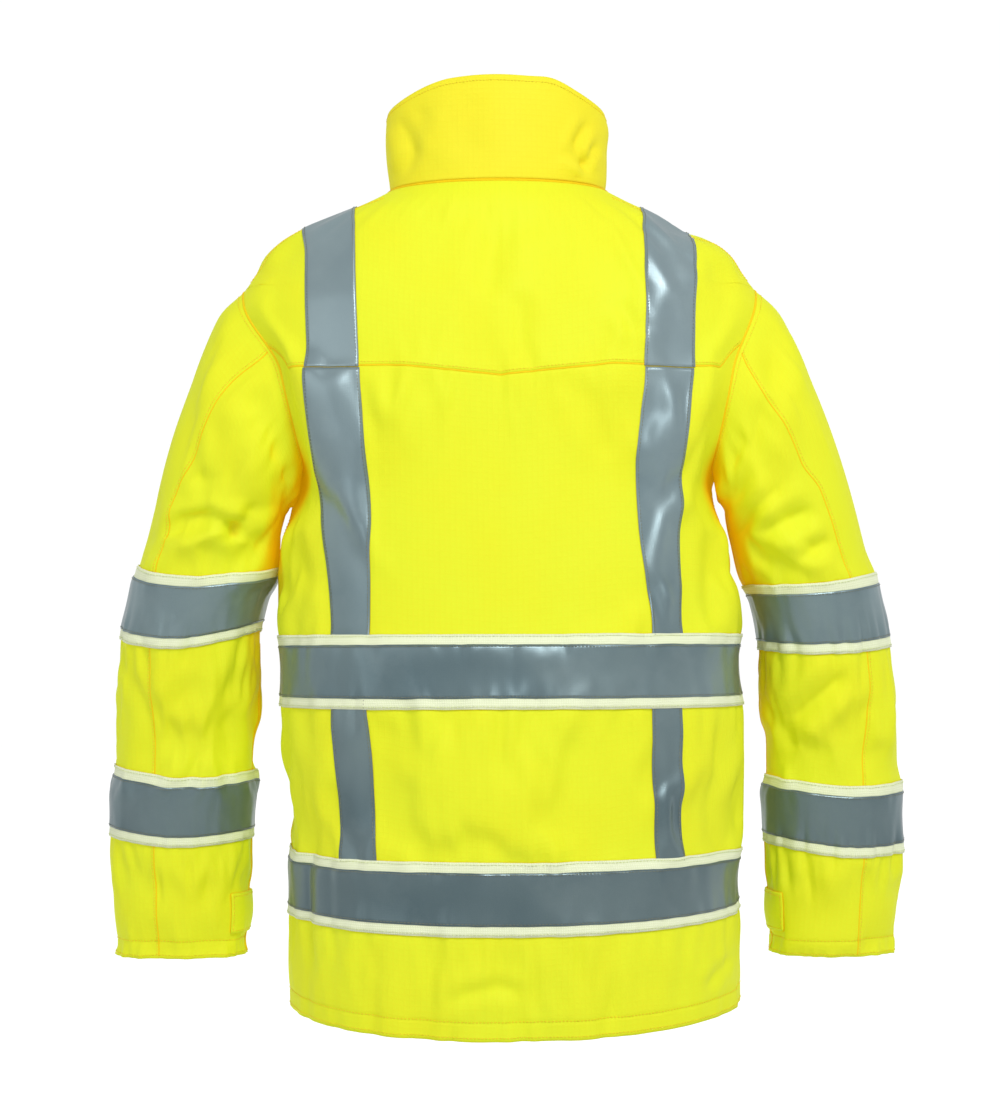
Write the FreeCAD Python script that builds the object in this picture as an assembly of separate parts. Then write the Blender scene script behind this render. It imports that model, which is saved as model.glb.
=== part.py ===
"""High-visibility turnout coat: shell, lining, reflective tapes, zip, storm flap, pockets and cuff tabs.

Frame: +Z up, the wearer faces -Y and the wearer's left is +X. The origin is the centre of the neck
opening at the collar seam. All sizes are in millimetres. Each sub-part is one STEP file in parts/.
"""

import FreeCAD, Part
import math
import os

from FreeCAD import Vector

# ---------------------------------------------------------------- driving dimensions
COAT_LENGTH = 822.0  # collar seam to hem edge
COLLAR_BACK = 97.0  # collar height at the centre back
COLLAR_FRONT = 72.0  # collar height at the zip
FRONT_AT_NECK = 100.0  # zip plane in front of the origin, at the collar seam
FRONT_LEAN = 0.0603  # how much further forward the zip plane is for each mm down
YOKE_DEPTH = 190.0  # collar seam to yoke seam
SHELL = 1.2  # outer fabric with its membrane
LINING_IN = 3.0  # the lining's outer face behind the shell's outer face
LINING = 1.0
HEM_FACING = 20.0  # the lining stops this far above the hem
SEAM_GAP = 0.4  # between panels that are sewn edge to edge

TAPE_WIDTH = 70.0  # cream base tape
SILVER_WIDTH = 50.0  # reflective strip along the middle of the base tape
BRACE_WIDTH = 50.0
BRACE_LAYER = (0.25, 0.85)  # offsets from the shell's outer face
SHOULDER_LAYER = (0.6, 1.2)  # the same strip where it turns over the shoulder
BAND_LAYER = (1.1, 1.8)
SILVER_LAYER = (2.05, 2.6)
WAIST_BAND_Z = -479.0
HEM_BAND_Z = -690.0
UPPER_BAND_DEPTH = 414.0  # middle of the upper sleeve's band, below the origin
CUFF_BAND_DEPTH = 623.0

ZIP_OPENING = 10.0  # half the gap between the front edges
ZIP_TOP = 56.0
ZIP_BOTTOM = -806.0
TOOTH_PITCH = 6.0
TOOTH = (5.7, 3.9, 2.4)  # across the zip, through it and along it

FLAP_FREE_EDGE = -36.0
FLAP_HINGE_X = 44.0
FLAP_STAND_OFF = 9.0  # storm flap's inner face in front of the zip plane
FLAP_THICKNESS = 2.0
STUD_X = -24.0
STUD_LEVELS = (-44.0, -784.0)  # first and last stud, spaced to miss the reflective bands
STUD_COUNT = 5

POCKET_DEPTH = 17.0
POCKET_WALL = 1.2
CUFF_TAB_DEPTHS = (702.0, 742.0)

ELBOW_DEPTH = 462.0
CUFF_DEPTH = 766.0

# Half width and back depth of the body at each height.
BODY_HALF_WIDTH = [
    (0, 108), (-14, 137), (-34, 183), (-58, 221), (-84, 250), (-125, 271), (-190, 270),
    (-250, 242), (-302, 212), (-325, 215), (-350, 220), (-400, 226), (-450, 230),
    (-500, 231), (-580, 229), (-670, 226), (-822, 221),
]
BODY_BACK = [
    (0, 75), (-14, 87), (-34, 101), (-58, 114), (-84, 124), (-125, 137), (-190, 147),
    (-300, 156), (-400, 165), (-480, 172), (-600, 175), (-690, 177), (-822, 175),
]
BODY_SQUARENESS = [(0, 2.0), (-60, 2.3), (-190, 2.5), (-480, 2.5), (-822, 2.4)]
FRONT_SQUARENESS = [(0, 2.6), (-60, 2.8), (-190, 3.0), (-822, 3.0)]
BRACE_CENTRE = [(0, 168), (-190, 166), (-450, 158), (-655, 150), (-822, 146)]

# Sleeve sections by the depth of their middle: outer edge x, inner edge x, how far the outer edge
# is above the middle, half thickness front to back, and the middle's y.
SLEEVE_OUTER = [
    (195.5, 256), (229, 300), (285, 338), (358, 363), (450, 383), (572, 397), (641, 401), (766, 395),
]
SLEEVE_INNER = [
    (195.5, 214), (229, 218), (285, 226), (358, 230), (450, 248), (572, 253), (641, 258), (766, 263),
]
SLEEVE_RISE = [
    (195.5, 103.5), (229, 79), (285, 40), (358, 14.5), (450, 7), (572, 3), (641, 1), (766, 0),
]
SLEEVE_HALF_DEPTH = [(195.5, 80), (229, 84), (285, 80), (358, 74), (450, 67), (572, 60), (766, 52)]
SLEEVE_MIDDLE_Y = [(195.5, 10), (229, 8), (285, 0), (358, -8), (450, -20), (572, -34), (766, -52)]
ARMHOLE_DEPTH = SLEEVE_OUTER[0][0]
SLEEVE_SQUARENESS = 2.2

SIDES = {"left": 1, "right": -1}


# ---------------------------------------------------------------- curves and surfaces
def profile(points):
    """A smooth function through (position, value) points that never overshoots them."""
    points = sorted(points)
    xs = [p[0] for p in points]
    ys = [p[1] for p in points]
    steps = [(ys[i + 1] - ys[i]) / (xs[i + 1] - xs[i]) for i in range(len(xs) - 1)]
    slopes = [steps[0]]
    for before, after in zip(steps, steps[1:]):
        slopes.append(0.0 if before * after <= 0 else 2 * before * after / (before + after))
    slopes.append(steps[-1])

    def value(x):
        if x <= xs[0]:
            return ys[0] + slopes[0] * (x - xs[0])
        if x >= xs[-1]:
            return ys[-1] + slopes[-1] * (x - xs[-1])
        i = max(k for k in range(len(xs) - 1) if xs[k] <= x)
        width = xs[i + 1] - xs[i]
        t = (x - xs[i]) / width
        return (
            ys[i] * (1 + 2 * t) * (1 - t) ** 2
            + slopes[i] * width * t * (1 - t) ** 2
            + ys[i + 1] * t * t * (3 - 2 * t)
            - slopes[i + 1] * width * t * t * (1 - t)
        )

    return value


half_width = profile(BODY_HALF_WIDTH)
back_depth = profile(BODY_BACK)
back_squareness = profile(BODY_SQUARENESS)
front_squareness = profile(FRONT_SQUARENESS)
brace_centre = profile(BRACE_CENTRE)
sleeve_outer = profile(SLEEVE_OUTER)
sleeve_inner = profile(SLEEVE_INNER)
sleeve_rise = profile(SLEEVE_RISE)
sleeve_half_depth = profile(SLEEVE_HALF_DEPTH)
sleeve_middle_y = profile(SLEEVE_MIDDLE_Y)


def front_depth(z):
    """Distance from the origin forward to the zip plane at height z."""
    return FRONT_AT_NECK - FRONT_LEAN * z


def ring_radius(angle, width, back, front, back_power, front_power):
    """Radius of a squared ellipse, angle degrees round from the centre back."""
    side, fore = math.sin(math.radians(angle)), math.cos(math.radians(angle))
    depth, power = (back, back_power) if fore > 0 else (front, front_power)
    return (abs(side / width) ** power + abs(fore / depth) ** power) ** (-1 / power)


def on_ring(angle, radius, z):
    return Vector(radius * math.sin(math.radians(angle)), radius * math.cos(math.radians(angle)), z)


def body(angle, z):
    """Outside of the coat's body, angle degrees round from the centre back at height z."""
    radius = ring_radius(
        angle, half_width(z), back_depth(z), front_depth(z), back_squareness(z), front_squareness(z)
    )
    return on_ring(angle, radius, z)


def collar_rim(angle):
    middle = (COLLAR_BACK + COLLAR_FRONT) / 2
    return middle + (COLLAR_BACK - COLLAR_FRONT) / 2 * math.cos(math.radians(angle))


def collar(angle, share):
    """Outside of the collar, share of its height up from the seam."""
    z = SEAM_GAP + share * (collar_rim(angle) - SEAM_GAP)
    width = half_width(0) + 3 * math.sin(math.pi * share)
    back = back_depth(0) - 3 * share
    return on_ring(angle, ring_radius(angle, width, back, front_depth(z), 2.0, 2.6), z)


def body_at(x, z, facing):
    """Outside of the body at a given x and height, on its back (facing 1) or front (facing -1)."""
    depth = back_depth(z) if facing > 0 else front_depth(z)
    power = back_squareness(z) if facing > 0 else front_squareness(z)
    return Vector(x, facing * depth * (1 - abs(x / half_width(z)) ** power) ** (1 / power), z)


def over_shoulder(x, turn):
    """Outside of the shoulder at a given x: turn 0 is the yoke seam, 90 the top and 180 the chest."""
    across, up = math.cos(math.radians(turn)), math.sin(math.radians(turn))
    low, high = 0.0, YOKE_DEPTH
    for _ in range(50):
        reach = (low + high) / 2
        y, z = reach * across, reach * up - YOKE_DEPTH
        depth, power = (
            (back_depth(z), back_squareness(z)) if y > 0 else (front_depth(z), front_squareness(z))
        )
        if abs(x / half_width(z)) ** power + abs(y / depth) ** power < 1:
            low = reach
        else:
            high = reach
    return Vector(x, reach * across, reach * up - YOKE_DEPTH)


def sleeve_frame(depth, side):
    """Middle of a sleeve section, its outward direction and its half width."""
    rise = sleeve_rise(depth)
    outer = Vector(side * sleeve_outer(depth), 0, -depth + rise)
    inner = Vector(side * sleeve_inner(depth), 0, -depth - rise)
    across = outer - inner
    middle = (outer + inner) * 0.5 + Vector(0, sleeve_middle_y(depth), 0)
    return middle, across * (1 / across.Length), across.Length / 2


def sleeve(angle, depth, side):
    """Point of a sleeve section: angle 0 is its outer edge, 90 its front and 180 its inner edge."""
    middle, across, half = sleeve_frame(depth, side)
    turn = math.radians(angle)
    power = SLEEVE_SQUARENESS
    radius = (
        abs(math.cos(turn) / half) ** power + abs(math.sin(turn) / sleeve_half_depth(depth)) ** power
    ) ** (-1 / power)
    return middle + across * (radius * math.cos(turn)) + Vector(0, -radius * math.sin(turn), 0)


def spread(start, stop, count):
    """count values evenly from start to stop, both included."""
    return [start + (stop - start) * i / (count - 1) for i in range(count)]


def heights(top, bottom):
    """Evenly spaced heights for a body panel."""
    return spread(top, bottom, max(5, round((top - bottom) / 11)))


# ---------------------------------------------------------------- solids
def normal_at(surface, u, v, outward):
    """Unit normal of surface(u, v) that points the way outward(point) does."""
    step = 0.02
    along_u = surface(u + step, v) - surface(u - step, v)
    along_v = surface(u, v + step) - surface(u, v - step)
    normal = along_u.cross(along_v)
    normal.normalize()
    return normal if normal.dot(outward(surface(u, v))) > 0 else normal * -1


def from_axis(point):
    """Outward for the body and the collar: away from the vertical line through the origin."""
    return Vector(point.x, point.y, 0)


def sheet(surface, us, vs, inner, outer, outward=from_axis):
    """Closed solid between two offsets of surface(u, v); an offset may be a function of v."""

    def layer(offset):
        rows = []
        for u in us:
            row = []
            for v in vs:
                distance = offset(v) if callable(offset) else offset
                row.append(surface(u, v) + normal_at(surface, u, v, outward) * distance)
            rows.append(row)
        spline = Part.BSplineSurface()
        spline.interpolate(rows)
        return spline

    low, high = layer(inner), layer(outer)
    faces = [low.toShape(), high.toShape()]
    u0, u1, v0, v1 = low.bounds()
    for iso, ends in (("uIso", (u0, u1)), ("vIso", (v0, v1))):
        for end in ends:
            edges = [getattr(layer_, iso)(end).toShape() for layer_ in (low, high)]
            faces.append(Part.makeRuledSurface(*edges))
    shell = Part.makeShell(faces)
    shell.sewShape()
    solid = Part.makeSolid(shell)
    if solid.Volume < 0:
        solid.reverse()
    return solid


def tube(side, start, stop, inner, outer, seam=180.0, turn=360.0):
    """Wall of a sleeve between two section depths, from its underarm seam all the way round.

    Another seam angle and a shorter turn make one of the pieces of a two-piece sleeve.
    """

    def surface(angle, depth):
        return sleeve(angle, depth, side)

    def from_middle(point):
        middle = sleeve_frame(min(max(-point.z, start), stop), side)[0]
        return point - middle

    angles = spread(seam + SEAM_ANGLE, seam + turn - SEAM_ANGLE, round(turn / 9) + 1)
    depths = spread(start, stop, max(5, round((stop - start) / 22)))
    return sheet(surface, angles, depths, inner, outer, outward=from_middle)


def box(x0, x1, y0, y1, z0, z1):
    return Part.makeBox(x1 - x0, y1 - y0, z1 - z0, Vector(x0, y0, z0))


def on_front(shape):
    """Places a shape made with the zip plane at y = 0 on the leaning front."""
    lean = math.degrees(math.atan(FRONT_LEAN))
    placed = shape.copy()
    placed.rotate(Vector(0, 0, 0), Vector(1, 0, 0), -lean)
    placed.translate(Vector(0, -FRONT_AT_NECK, 0))
    return placed


def mirrored(shape, side):
    return shape if side > 0 else shape.mirror(Vector(0, 0, 0), Vector(1, 0, 0))


def without_arms(shape):
    """Removes what lies beyond either armhole's plane."""
    clearance = 0.8
    for side in SIDES.values():
        middle, across, _ = sleeve_frame(ARMHOLE_DEPTH, side)
        outward = Vector(side * abs(across.z), 0, -abs(across.x))
        block = box(-200, 200, -300, 300, 0, 300)
        block.Placement = FreeCAD.Placement(
            Vector(middle.x, 0, middle.z) - outward * clearance,
            FreeCAD.Rotation(Vector(0, 0, 1), outward),
        )
        underarm = -ARMHOLE_DEPTH - sleeve_rise(ARMHOLE_DEPTH) - clearance
        above_underarm = box(-500, 500, -300, 300, underarm, 50)
        shape = shape.cut(block.common(above_underarm))
    return shape


def without_centre(shape, half):
    return shape.cut(on_front(box(-half, half, -60, 60, -COAT_LENGTH - 20, COLLAR_BACK + 20)))


# ---------------------------------------------------------------- body panels
SIDE_SEAM = 93.0  # degrees round from the centre back
SEAM_ANGLE = 0.12  # half a seam's gap, in degrees


def back_layer(inner, outer, top, bottom):
    return without_arms(sheet(body, spread(-SIDE_SEAM, SIDE_SEAM, 33), heights(top, bottom), inner, outer))


def front_layer(side, inner, outer, bottom):
    angles = spread(SIDE_SEAM + 2 * SEAM_ANGLE, 180, 19)
    panel = sheet(body, angles, heights(0.0, bottom), inner, outer)
    return mirrored(without_arms(panel), side)


def body_panels(parts):
    parts["back_yoke"] = back_layer(-SHELL, 0, 0.0, -YOKE_DEPTH)
    parts["back_panel"] = back_layer(-SHELL, 0, -YOKE_DEPTH - SEAM_GAP, -COAT_LENGTH)
    lining = (-LINING_IN - LINING, -LINING_IN)
    lining_end = -COAT_LENGTH + HEM_FACING
    parts["back_lining"] = back_layer(*lining, 0.0, lining_end)
    for name, side in SIDES.items():
        panel = front_layer(side, -SHELL, 0, -COAT_LENGTH)
        parts[name + "_front_panel"] = without_centre(panel, ZIP_OPENING)
        parts[name + "_front_lining"] = without_centre(front_layer(side, *lining, lining_end), 20)


def collar_layers(parts):
    angles = spread(-180, 180, 49)
    for name, inner, outer, top, opening in (
        ("collar_shell", -SHELL, 0, 1.0, ZIP_OPENING),
        ("collar_interlining", -4.2, -1.6, 0.94, 20),
        ("collar_lining", -5.6, -4.6, 0.98, 20),
    ):
        layer = sheet(collar, angles, spread(0, top, 6), inner, outer)
        parts[name] = without_centre(layer, opening)


def hang_loop(parts):
    """A strap inside the back neck, bowed off the lining so that a hook goes behind it."""
    half_span, bow, height, thickness = 34.0, 13.0, 9.0, 2.0
    lining_y = back_depth(0) - 5.6 - 0.6
    depth = collar(0, 0.12).z
    y_end = lining_y - 5.0
    outer = Part.Arc(Vector(-half_span, y_end, 0), Vector(0, y_end - bow, 0), Vector(half_span, y_end, 0))
    inner = Part.Arc(
        Vector(half_span - thickness, y_end, 0),
        Vector(0, y_end - bow + thickness, 0),
        Vector(-half_span + thickness, y_end, 0),
    )
    ends = [
        Part.LineSegment(Vector(half_span, y_end, 0), Vector(half_span - thickness, y_end, 0)),
        Part.LineSegment(Vector(-half_span + thickness, y_end, 0), Vector(-half_span, y_end, 0)),
    ]
    wire = Part.Wire([outer.toShape(), ends[0].toShape(), inner.toShape(), ends[1].toShape()])
    strap = Part.Face(wire).extrude(Vector(0, 0, height))
    for side in SIDES.values():
        tail = box(half_span - thickness, half_span, y_end, y_end + 8, 0, height)
        strap = strap.fuse(mirrored(tail, side))
    back = sheet(collar, spread(-40, 40, 9), spread(0, 0.5, 4), -5.7, 10)
    strap.translate(Vector(0, 0, depth))
    parts["hang_loop"] = strap.cut(back).removeSplitter()


# ---------------------------------------------------------------- reflective tapes
def bands(parts):
    for name, middle in (("waist", WAIST_BAND_Z), ("hem", HEM_BAND_Z)):
        for kind, width, layer in (("band", TAPE_WIDTH, BAND_LAYER), ("silver", SILVER_WIDTH, SILVER_LAYER)):
            levels = spread(middle + width / 2, middle - width / 2, 5)
            ring = sheet(body, spread(-180, 180, 61), levels, *layer)
            parts[f"{name}_{kind}"] = without_centre(ring, ZIP_OPENING + 4)


def strip(facing, side, top, bottom):
    """A brace between two heights on the back or the front."""

    def surface(u, z):
        return body_at(side * (brace_centre(z) + u), z, facing)

    half = BRACE_WIDTH / 2
    return sheet(surface, spread(-half, half, 5), heights(top, bottom), *BRACE_LAYER)


def shoulder_strip(side):
    """A brace from the yoke seam over the shoulder and down to the same height on the chest."""

    def surface(u, turn):
        return over_shoulder(side * (brace_centre(-YOKE_DEPTH) + u), turn)

    half = BRACE_WIDTH / 2
    return sheet(surface, spread(-half, half, 5), spread(0, 180, 25), *SHOULDER_LAYER)


def braces(parts):
    for name, side in SIDES.items():
        parts[name + "_shoulder_brace"] = shoulder_strip(side)
        parts[name + "_back_brace"] = strip(1, side, -YOKE_DEPTH - 1, HEM_BAND_Z + TAPE_WIDTH / 2 - 6)
        parts[name + "_front_brace"] = strip(-1, side, -YOKE_DEPTH - 1, WAIST_BAND_Z + TAPE_WIDTH / 2 - 6)


# ---------------------------------------------------------------- zip
TAPE_FRONT = 1.8  # zip tape's front face behind the zip plane
SLIDER_HALF = (8.0, 8.0)  # half width and half length of the slider's plates
SLIDER_S = 58.0
LUG_PIN = (-5.0, 60.0)  # the puller's pivot, in front of the zip plane and along it
PIN_RADIUS = 0.9


def zip_chain(parts):
    across, through, along = TOOTH
    past_centre = 1.2
    count = int((ZIP_TOP - ZIP_BOTTOM) / TOOTH_PITCH) - 2
    for name, side in SIDES.items():
        tape = box(across - past_centre + 0.1, 18, TAPE_FRONT, TAPE_FRONT + 0.7, ZIP_BOTTOM, ZIP_TOP + 8)
        parts[name + "_zip_tape"] = on_front(mirrored(tape, side))
        first = ZIP_BOTTOM + 14 + (0 if side > 0 else TOOTH_PITCH / 2)
        teeth = []
        for i in range(count):
            z = first + i * TOOTH_PITCH
            tooth = box(-past_centre, across - past_centre, 0.15, 0.15 + through, z, z + along)
            teeth.append(on_front(mirrored(tooth, side)))
        parts[name + "_zip_teeth"] = Part.makeCompound(teeth)
    block = box(-7, 7, 0.2, 4.2, ZIP_BOTTOM + 1, ZIP_BOTTOM + 12)
    slot = box(-18, -4, TAPE_FRONT - 0.2, TAPE_FRONT + 0.9, ZIP_BOTTOM, ZIP_BOTTOM + 13)
    block = block.cut(slot).cut(mirrored(slot, -1))
    parts["zip_bottom_box"] = on_front(block)


def zip_slider(parts):
    half_w, half_l = SLIDER_HALF
    pin_y, pin_z = LUG_PIN
    front = box(-half_w, half_w, -2.2, -0.15, SLIDER_S - half_l, SLIDER_S + half_l)
    back = box(-half_w, half_w, 4.45, 6.1, SLIDER_S - half_l, SLIDER_S + half_l)
    upright = [e for e in front.Edges if abs(e.tangentAt(0).y) > 0.9]
    front = front.makeFillet(3.0, upright)
    back = back.makeFillet(3.0, [e for e in back.Edges if abs(e.tangentAt(0).y) > 0.9])
    for x in (-4.8, 3.4):
        front = front.fuse(box(x, x + 1.4, pin_y - 1.8, -2.0, pin_z - 2.4, pin_z + 2.4))
    pin = Part.makeCylinder(PIN_RADIUS, 9.4, Vector(-4.7, pin_y, pin_z), Vector(1, 0, 0))
    front = front.fuse(pin).removeSplitter()
    parts["zip_slider"] = on_front(Part.makeCompound([front, back]))

    eye = Part.makeCylinder(2.1, 6.4, Vector(-3.2, pin_y, pin_z), Vector(1, 0, 0))
    neck = box(-3.0, 3.0, pin_y - 0.8, pin_y + 0.8, pin_z - 12, pin_z)
    grip = box(-5.0, 5.0, pin_y - 0.9, pin_y + 0.9, pin_z - 42, pin_z - 11)
    grip = grip.makeFillet(2.5, [e for e in grip.Edges if abs(e.tangentAt(0).y) > 0.9])
    bore = Part.makeCylinder(PIN_RADIUS + 0.3, 8, Vector(-4, pin_y, pin_z), Vector(1, 0, 0))
    parts["zip_puller"] = on_front(eye.fuse(neck).fuse(grip).cut(bore).removeSplitter())


# ---------------------------------------------------------------- storm flap
def disc(x, y0, y1, z, radius):
    """A short cylinder through the front, from y0 to y1 in the zip plane's own frame."""
    return Part.makeCylinder(radius, abs(y1 - y0), Vector(x, y0, z), Vector(0, math.copysign(1, y1 - y0), 0))


def storm_flap(parts):
    top, bottom = -4.0, -COAT_LENGTH + 8
    inner, outer = -FLAP_STAND_OFF, -FLAP_STAND_OFF - FLAP_THICKNESS
    flap = box(FLAP_FREE_EDGE, FLAP_HINGE_X - 0.5, outer, inner, bottom, top)
    corners = [
        e for e in flap.Edges if abs(e.tangentAt(0).y) > 0.9 and e.CenterOfMass.x < 0
    ]
    parts["storm_flap"] = on_front(flap.makeFillet(14.0, corners))

    angles = spread(150, 180, 9)
    raised = sheet(body, angles, heights(-2, -COAT_LENGTH + 4), 0.9, 22)
    root = raised.common(on_front(box(FLAP_HINGE_X + 0.5, FLAP_HINGE_X + 10, outer, 30, bottom, top)))
    for middle in (WAIST_BAND_Z, HEM_BAND_Z):
        half = TAPE_WIDTH / 2 + 0.8
        levels = spread(middle + half, middle - half, 5)
        root = root.cut(sheet(body, spread(120, 180, 11), levels, -4, SILVER_LAYER[1] + 0.4))
    parts["storm_flap_root"] = root

    caps, posts = [], []
    for z in spread(*STUD_LEVELS, STUD_COUNT):
        cap = disc(STUD_X, outer - 0.1, outer - 2.0, z, 7.5)
        rim = [e for e in cap.Edges if abs(e.CenterOfMass.y - (outer - 2.0)) < 0.1]
        caps.append(on_front(cap.makeFillet(1.2, rim)))
        caps.append(on_front(disc(STUD_X, inner + 0.1, inner + 3.0, z, 6.5)))
        stud = disc(STUD_X, -0.4, -1.8, z, 6.5).fuse(disc(STUD_X, -1.7, -5.4, z, 2.2))
        posts.append(on_front(stud.removeSplitter()))
    parts["storm_flap_stud_caps"] = Part.makeCompound(caps)
    parts["storm_flap_studs"] = Part.makeCompound(posts)


# ---------------------------------------------------------------- pockets
# Inner and outer x, mouth height, bottom height and the flap's drop over the pocket.
POCKETS = {
    "left_pocket": (1, 66.0, 170.0, -540.0, -648.0, 46.0),
    "right_pocket": (-1, 66.0, 170.0, -540.0, -648.0, 46.0),
    "chest_pocket": (1, 66.0, 134.0, -262.0, -398.0, 44.0),
}
FLAP_SIDE = 4.0  # how far a pocket flap reaches past the pocket on each side
FLAP_ROOT = 12.0  # height of the flap's sloping part above the mouth


def pocket_surface(side):
    def surface(x, z):
        return body_at(side * x, z, -1)

    return surface


def pocket(side, x0, x1, mouth, bottom):
    """An open-topped bellows pocket that follows the panel's curve."""
    surface, wall = pocket_surface(side), POCKET_WALL
    levels = spread(mouth, bottom, 7)
    shell = sheet(surface, spread(x0, x1, 9), levels, 0.35, POCKET_DEPTH)
    levels = spread(mouth + 4, bottom + wall, 7)
    hollow = sheet(
        surface, spread(x0 + wall, x1 - wall, 9), levels, 0.35 + wall, POCKET_DEPTH - wall
    )
    return shell.cut(hollow)


def flap_rise(mouth):
    """Offset of a pocket flap's inner face: on the panel at its root, clear of the pocket below."""

    def inner(z):
        share = min(1.0, max(0.0, (mouth + FLAP_ROOT - z) / (FLAP_ROOT - 2)))
        return 0.6 + (POCKET_DEPTH + 0.6) * share * share * (3 - 2 * share)

    return inner


def pockets(parts):
    for name, (side, x0, x1, mouth, bottom, drop) in POCKETS.items():
        parts[name] = pocket(side, x0, x1, mouth, bottom)
        inner = flap_rise(mouth)
        top = mouth + FLAP_ROOT
        levels = spread(top, mouth - drop, 19)
        xs = spread(x0 - FLAP_SIDE, x1 + FLAP_SIDE, 9)
        parts[name + "_flap"] = sheet(
            pocket_surface(side), xs, levels, inner, lambda z: inner(z) + 1.6
        )


# ---------------------------------------------------------------- sleeves
def sleeve_parts(parts):
    lining = (-LINING_IN - LINING, -LINING_IN)
    for name, side in SIDES.items():
        above, below = ELBOW_DEPTH - 0.4, ELBOW_DEPTH + 0.4
        parts[name + "_upper_sleeve"] = tube(side, ARMHOLE_DEPTH, above, -SHELL, 0, seam=-90, turn=180)
        parts[name + "_under_sleeve"] = tube(side, ARMHOLE_DEPTH, above, -SHELL, 0, seam=90, turn=180)
        parts[name + "_forearm"] = tube(side, below, CUFF_DEPTH, -SHELL, 0)
        parts[name + "_upper_sleeve_lining"] = tube(side, ARMHOLE_DEPTH + 4, above, *lining)
        parts[name + "_forearm_lining"] = tube(side, below, CUFF_DEPTH - 18, *lining)
        for place, middle in (("upper", UPPER_BAND_DEPTH), ("cuff", CUFF_BAND_DEPTH)):
            half = TAPE_WIDTH / 2
            parts[f"{name}_{place}_band"] = tube(side, middle - half, middle + half, *BAND_LAYER)
            half = SILVER_WIDTH / 2
            parts[f"{name}_{place}_silver"] = tube(side, middle - half, middle + half, *SILVER_LAYER)
        cuff_tab(parts, name, side)


TAB_LAYER = (0.5, 2.7)
TAB_HINGE_ANGLE = 150.0


def cuff_tab(parts, name, side):
    """The wrist strap: a part sewn to the sleeve's inner side and the part that lifts off its front."""

    def surface(angle, depth):
        return sleeve(angle, depth, side)

    def from_middle(point):
        middle = sleeve_frame(-point.z, side)[0]
        return point - middle

    depths = spread(*CUFF_TAB_DEPTHS, 5)
    sewn = spread(TAB_HINGE_ANGLE + 0.6, 215, 9)
    free = spread(78, TAB_HINGE_ANGLE - 0.6, 9)
    parts[name + "_cuff_tab_root"] = sheet(surface, sewn, depths, *TAB_LAYER, outward=from_middle)
    parts[name + "_cuff_tab"] = sheet(surface, free, depths, *TAB_LAYER, outward=from_middle)


# ---------------------------------------------------------------- the coat
def build():
    """Every sub-part of the coat, by name."""
    parts = {}
    for make in (
        body_panels, collar_layers, hang_loop, bands, braces, zip_chain, zip_slider, storm_flap,
        pockets, sleeve_parts,
    ):
        make(parts)
    return parts


def main():
    os.makedirs("parts", exist_ok=True)
    for name, shape in build().items():
        assert shape.isValid() and shape.Volume > 0, name
        shape.exportStep(f"parts/{name}.step")
        size = shape.BoundBox
        print(f"{name}: {len(shape.Solids)} solids, {shape.Volume / 1000:.2f} cm3,"
              f" z {size.ZMin:.0f} to {size.ZMax:.0f}")


if __name__ == "__main__":
    main()
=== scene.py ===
"""High-visibility turnout coat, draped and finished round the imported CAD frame. Metres throughout.

Frame: +Z up, the wearer faces -Y, the wearer's left is +X, origin at the middle of the neck opening.
"""

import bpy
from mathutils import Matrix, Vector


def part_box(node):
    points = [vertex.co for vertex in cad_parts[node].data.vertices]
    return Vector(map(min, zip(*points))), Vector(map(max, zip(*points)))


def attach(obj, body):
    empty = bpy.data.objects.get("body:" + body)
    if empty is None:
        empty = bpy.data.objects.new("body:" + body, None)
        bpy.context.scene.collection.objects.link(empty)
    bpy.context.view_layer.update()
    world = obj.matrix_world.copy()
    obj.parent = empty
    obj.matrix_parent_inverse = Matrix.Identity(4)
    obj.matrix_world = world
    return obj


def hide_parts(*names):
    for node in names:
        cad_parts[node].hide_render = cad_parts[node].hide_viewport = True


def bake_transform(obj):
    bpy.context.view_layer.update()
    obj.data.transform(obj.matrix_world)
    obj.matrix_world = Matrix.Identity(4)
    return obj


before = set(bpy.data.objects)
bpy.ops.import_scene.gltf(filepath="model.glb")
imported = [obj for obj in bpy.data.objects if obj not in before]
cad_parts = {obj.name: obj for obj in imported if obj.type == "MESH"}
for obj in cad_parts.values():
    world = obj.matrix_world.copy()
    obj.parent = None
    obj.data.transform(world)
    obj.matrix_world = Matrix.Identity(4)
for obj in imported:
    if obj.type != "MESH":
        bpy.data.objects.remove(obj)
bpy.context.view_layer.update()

import copy
import math

import bpy
import numpy as np
from mathutils import Matrix, Vector

RNG = np.random.default_rng(7)
SIDES = {"left": 1.0, "right": -1.0}
MM = 0.001


# ---------------------------------------------------------------- sizes
def low_high(node):
    return [np.array(corner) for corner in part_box(node)]


HEM_Z = low_high("back_panel")[0][2]
YOKE_Z = low_high("back_yoke")[0][2]
WAIST_Z = -0.479
HEM_BAND_Z = -0.690
UPPER_BAND_DEPTH = 0.414
CUFF_BAND_DEPTH = 0.623
TAPE = 0.070
SILVER = 0.050
BRACE = 0.050
FRONT_AT_NECK = 0.100
FRONT_LEAN = 0.0603
COLLAR_BACK = low_high("collar_shell")[1][2]
COLLAR_FRONT = 0.072
SHELL = 0.0012
SIDE_SEAM = 93.0
CUFF_DEPTH = 0.766
ELBOW_DEPTH = 0.462
SLEEVE_JOIN = 0.440
ARMHOLE_DEPTH = 0.1955

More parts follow.
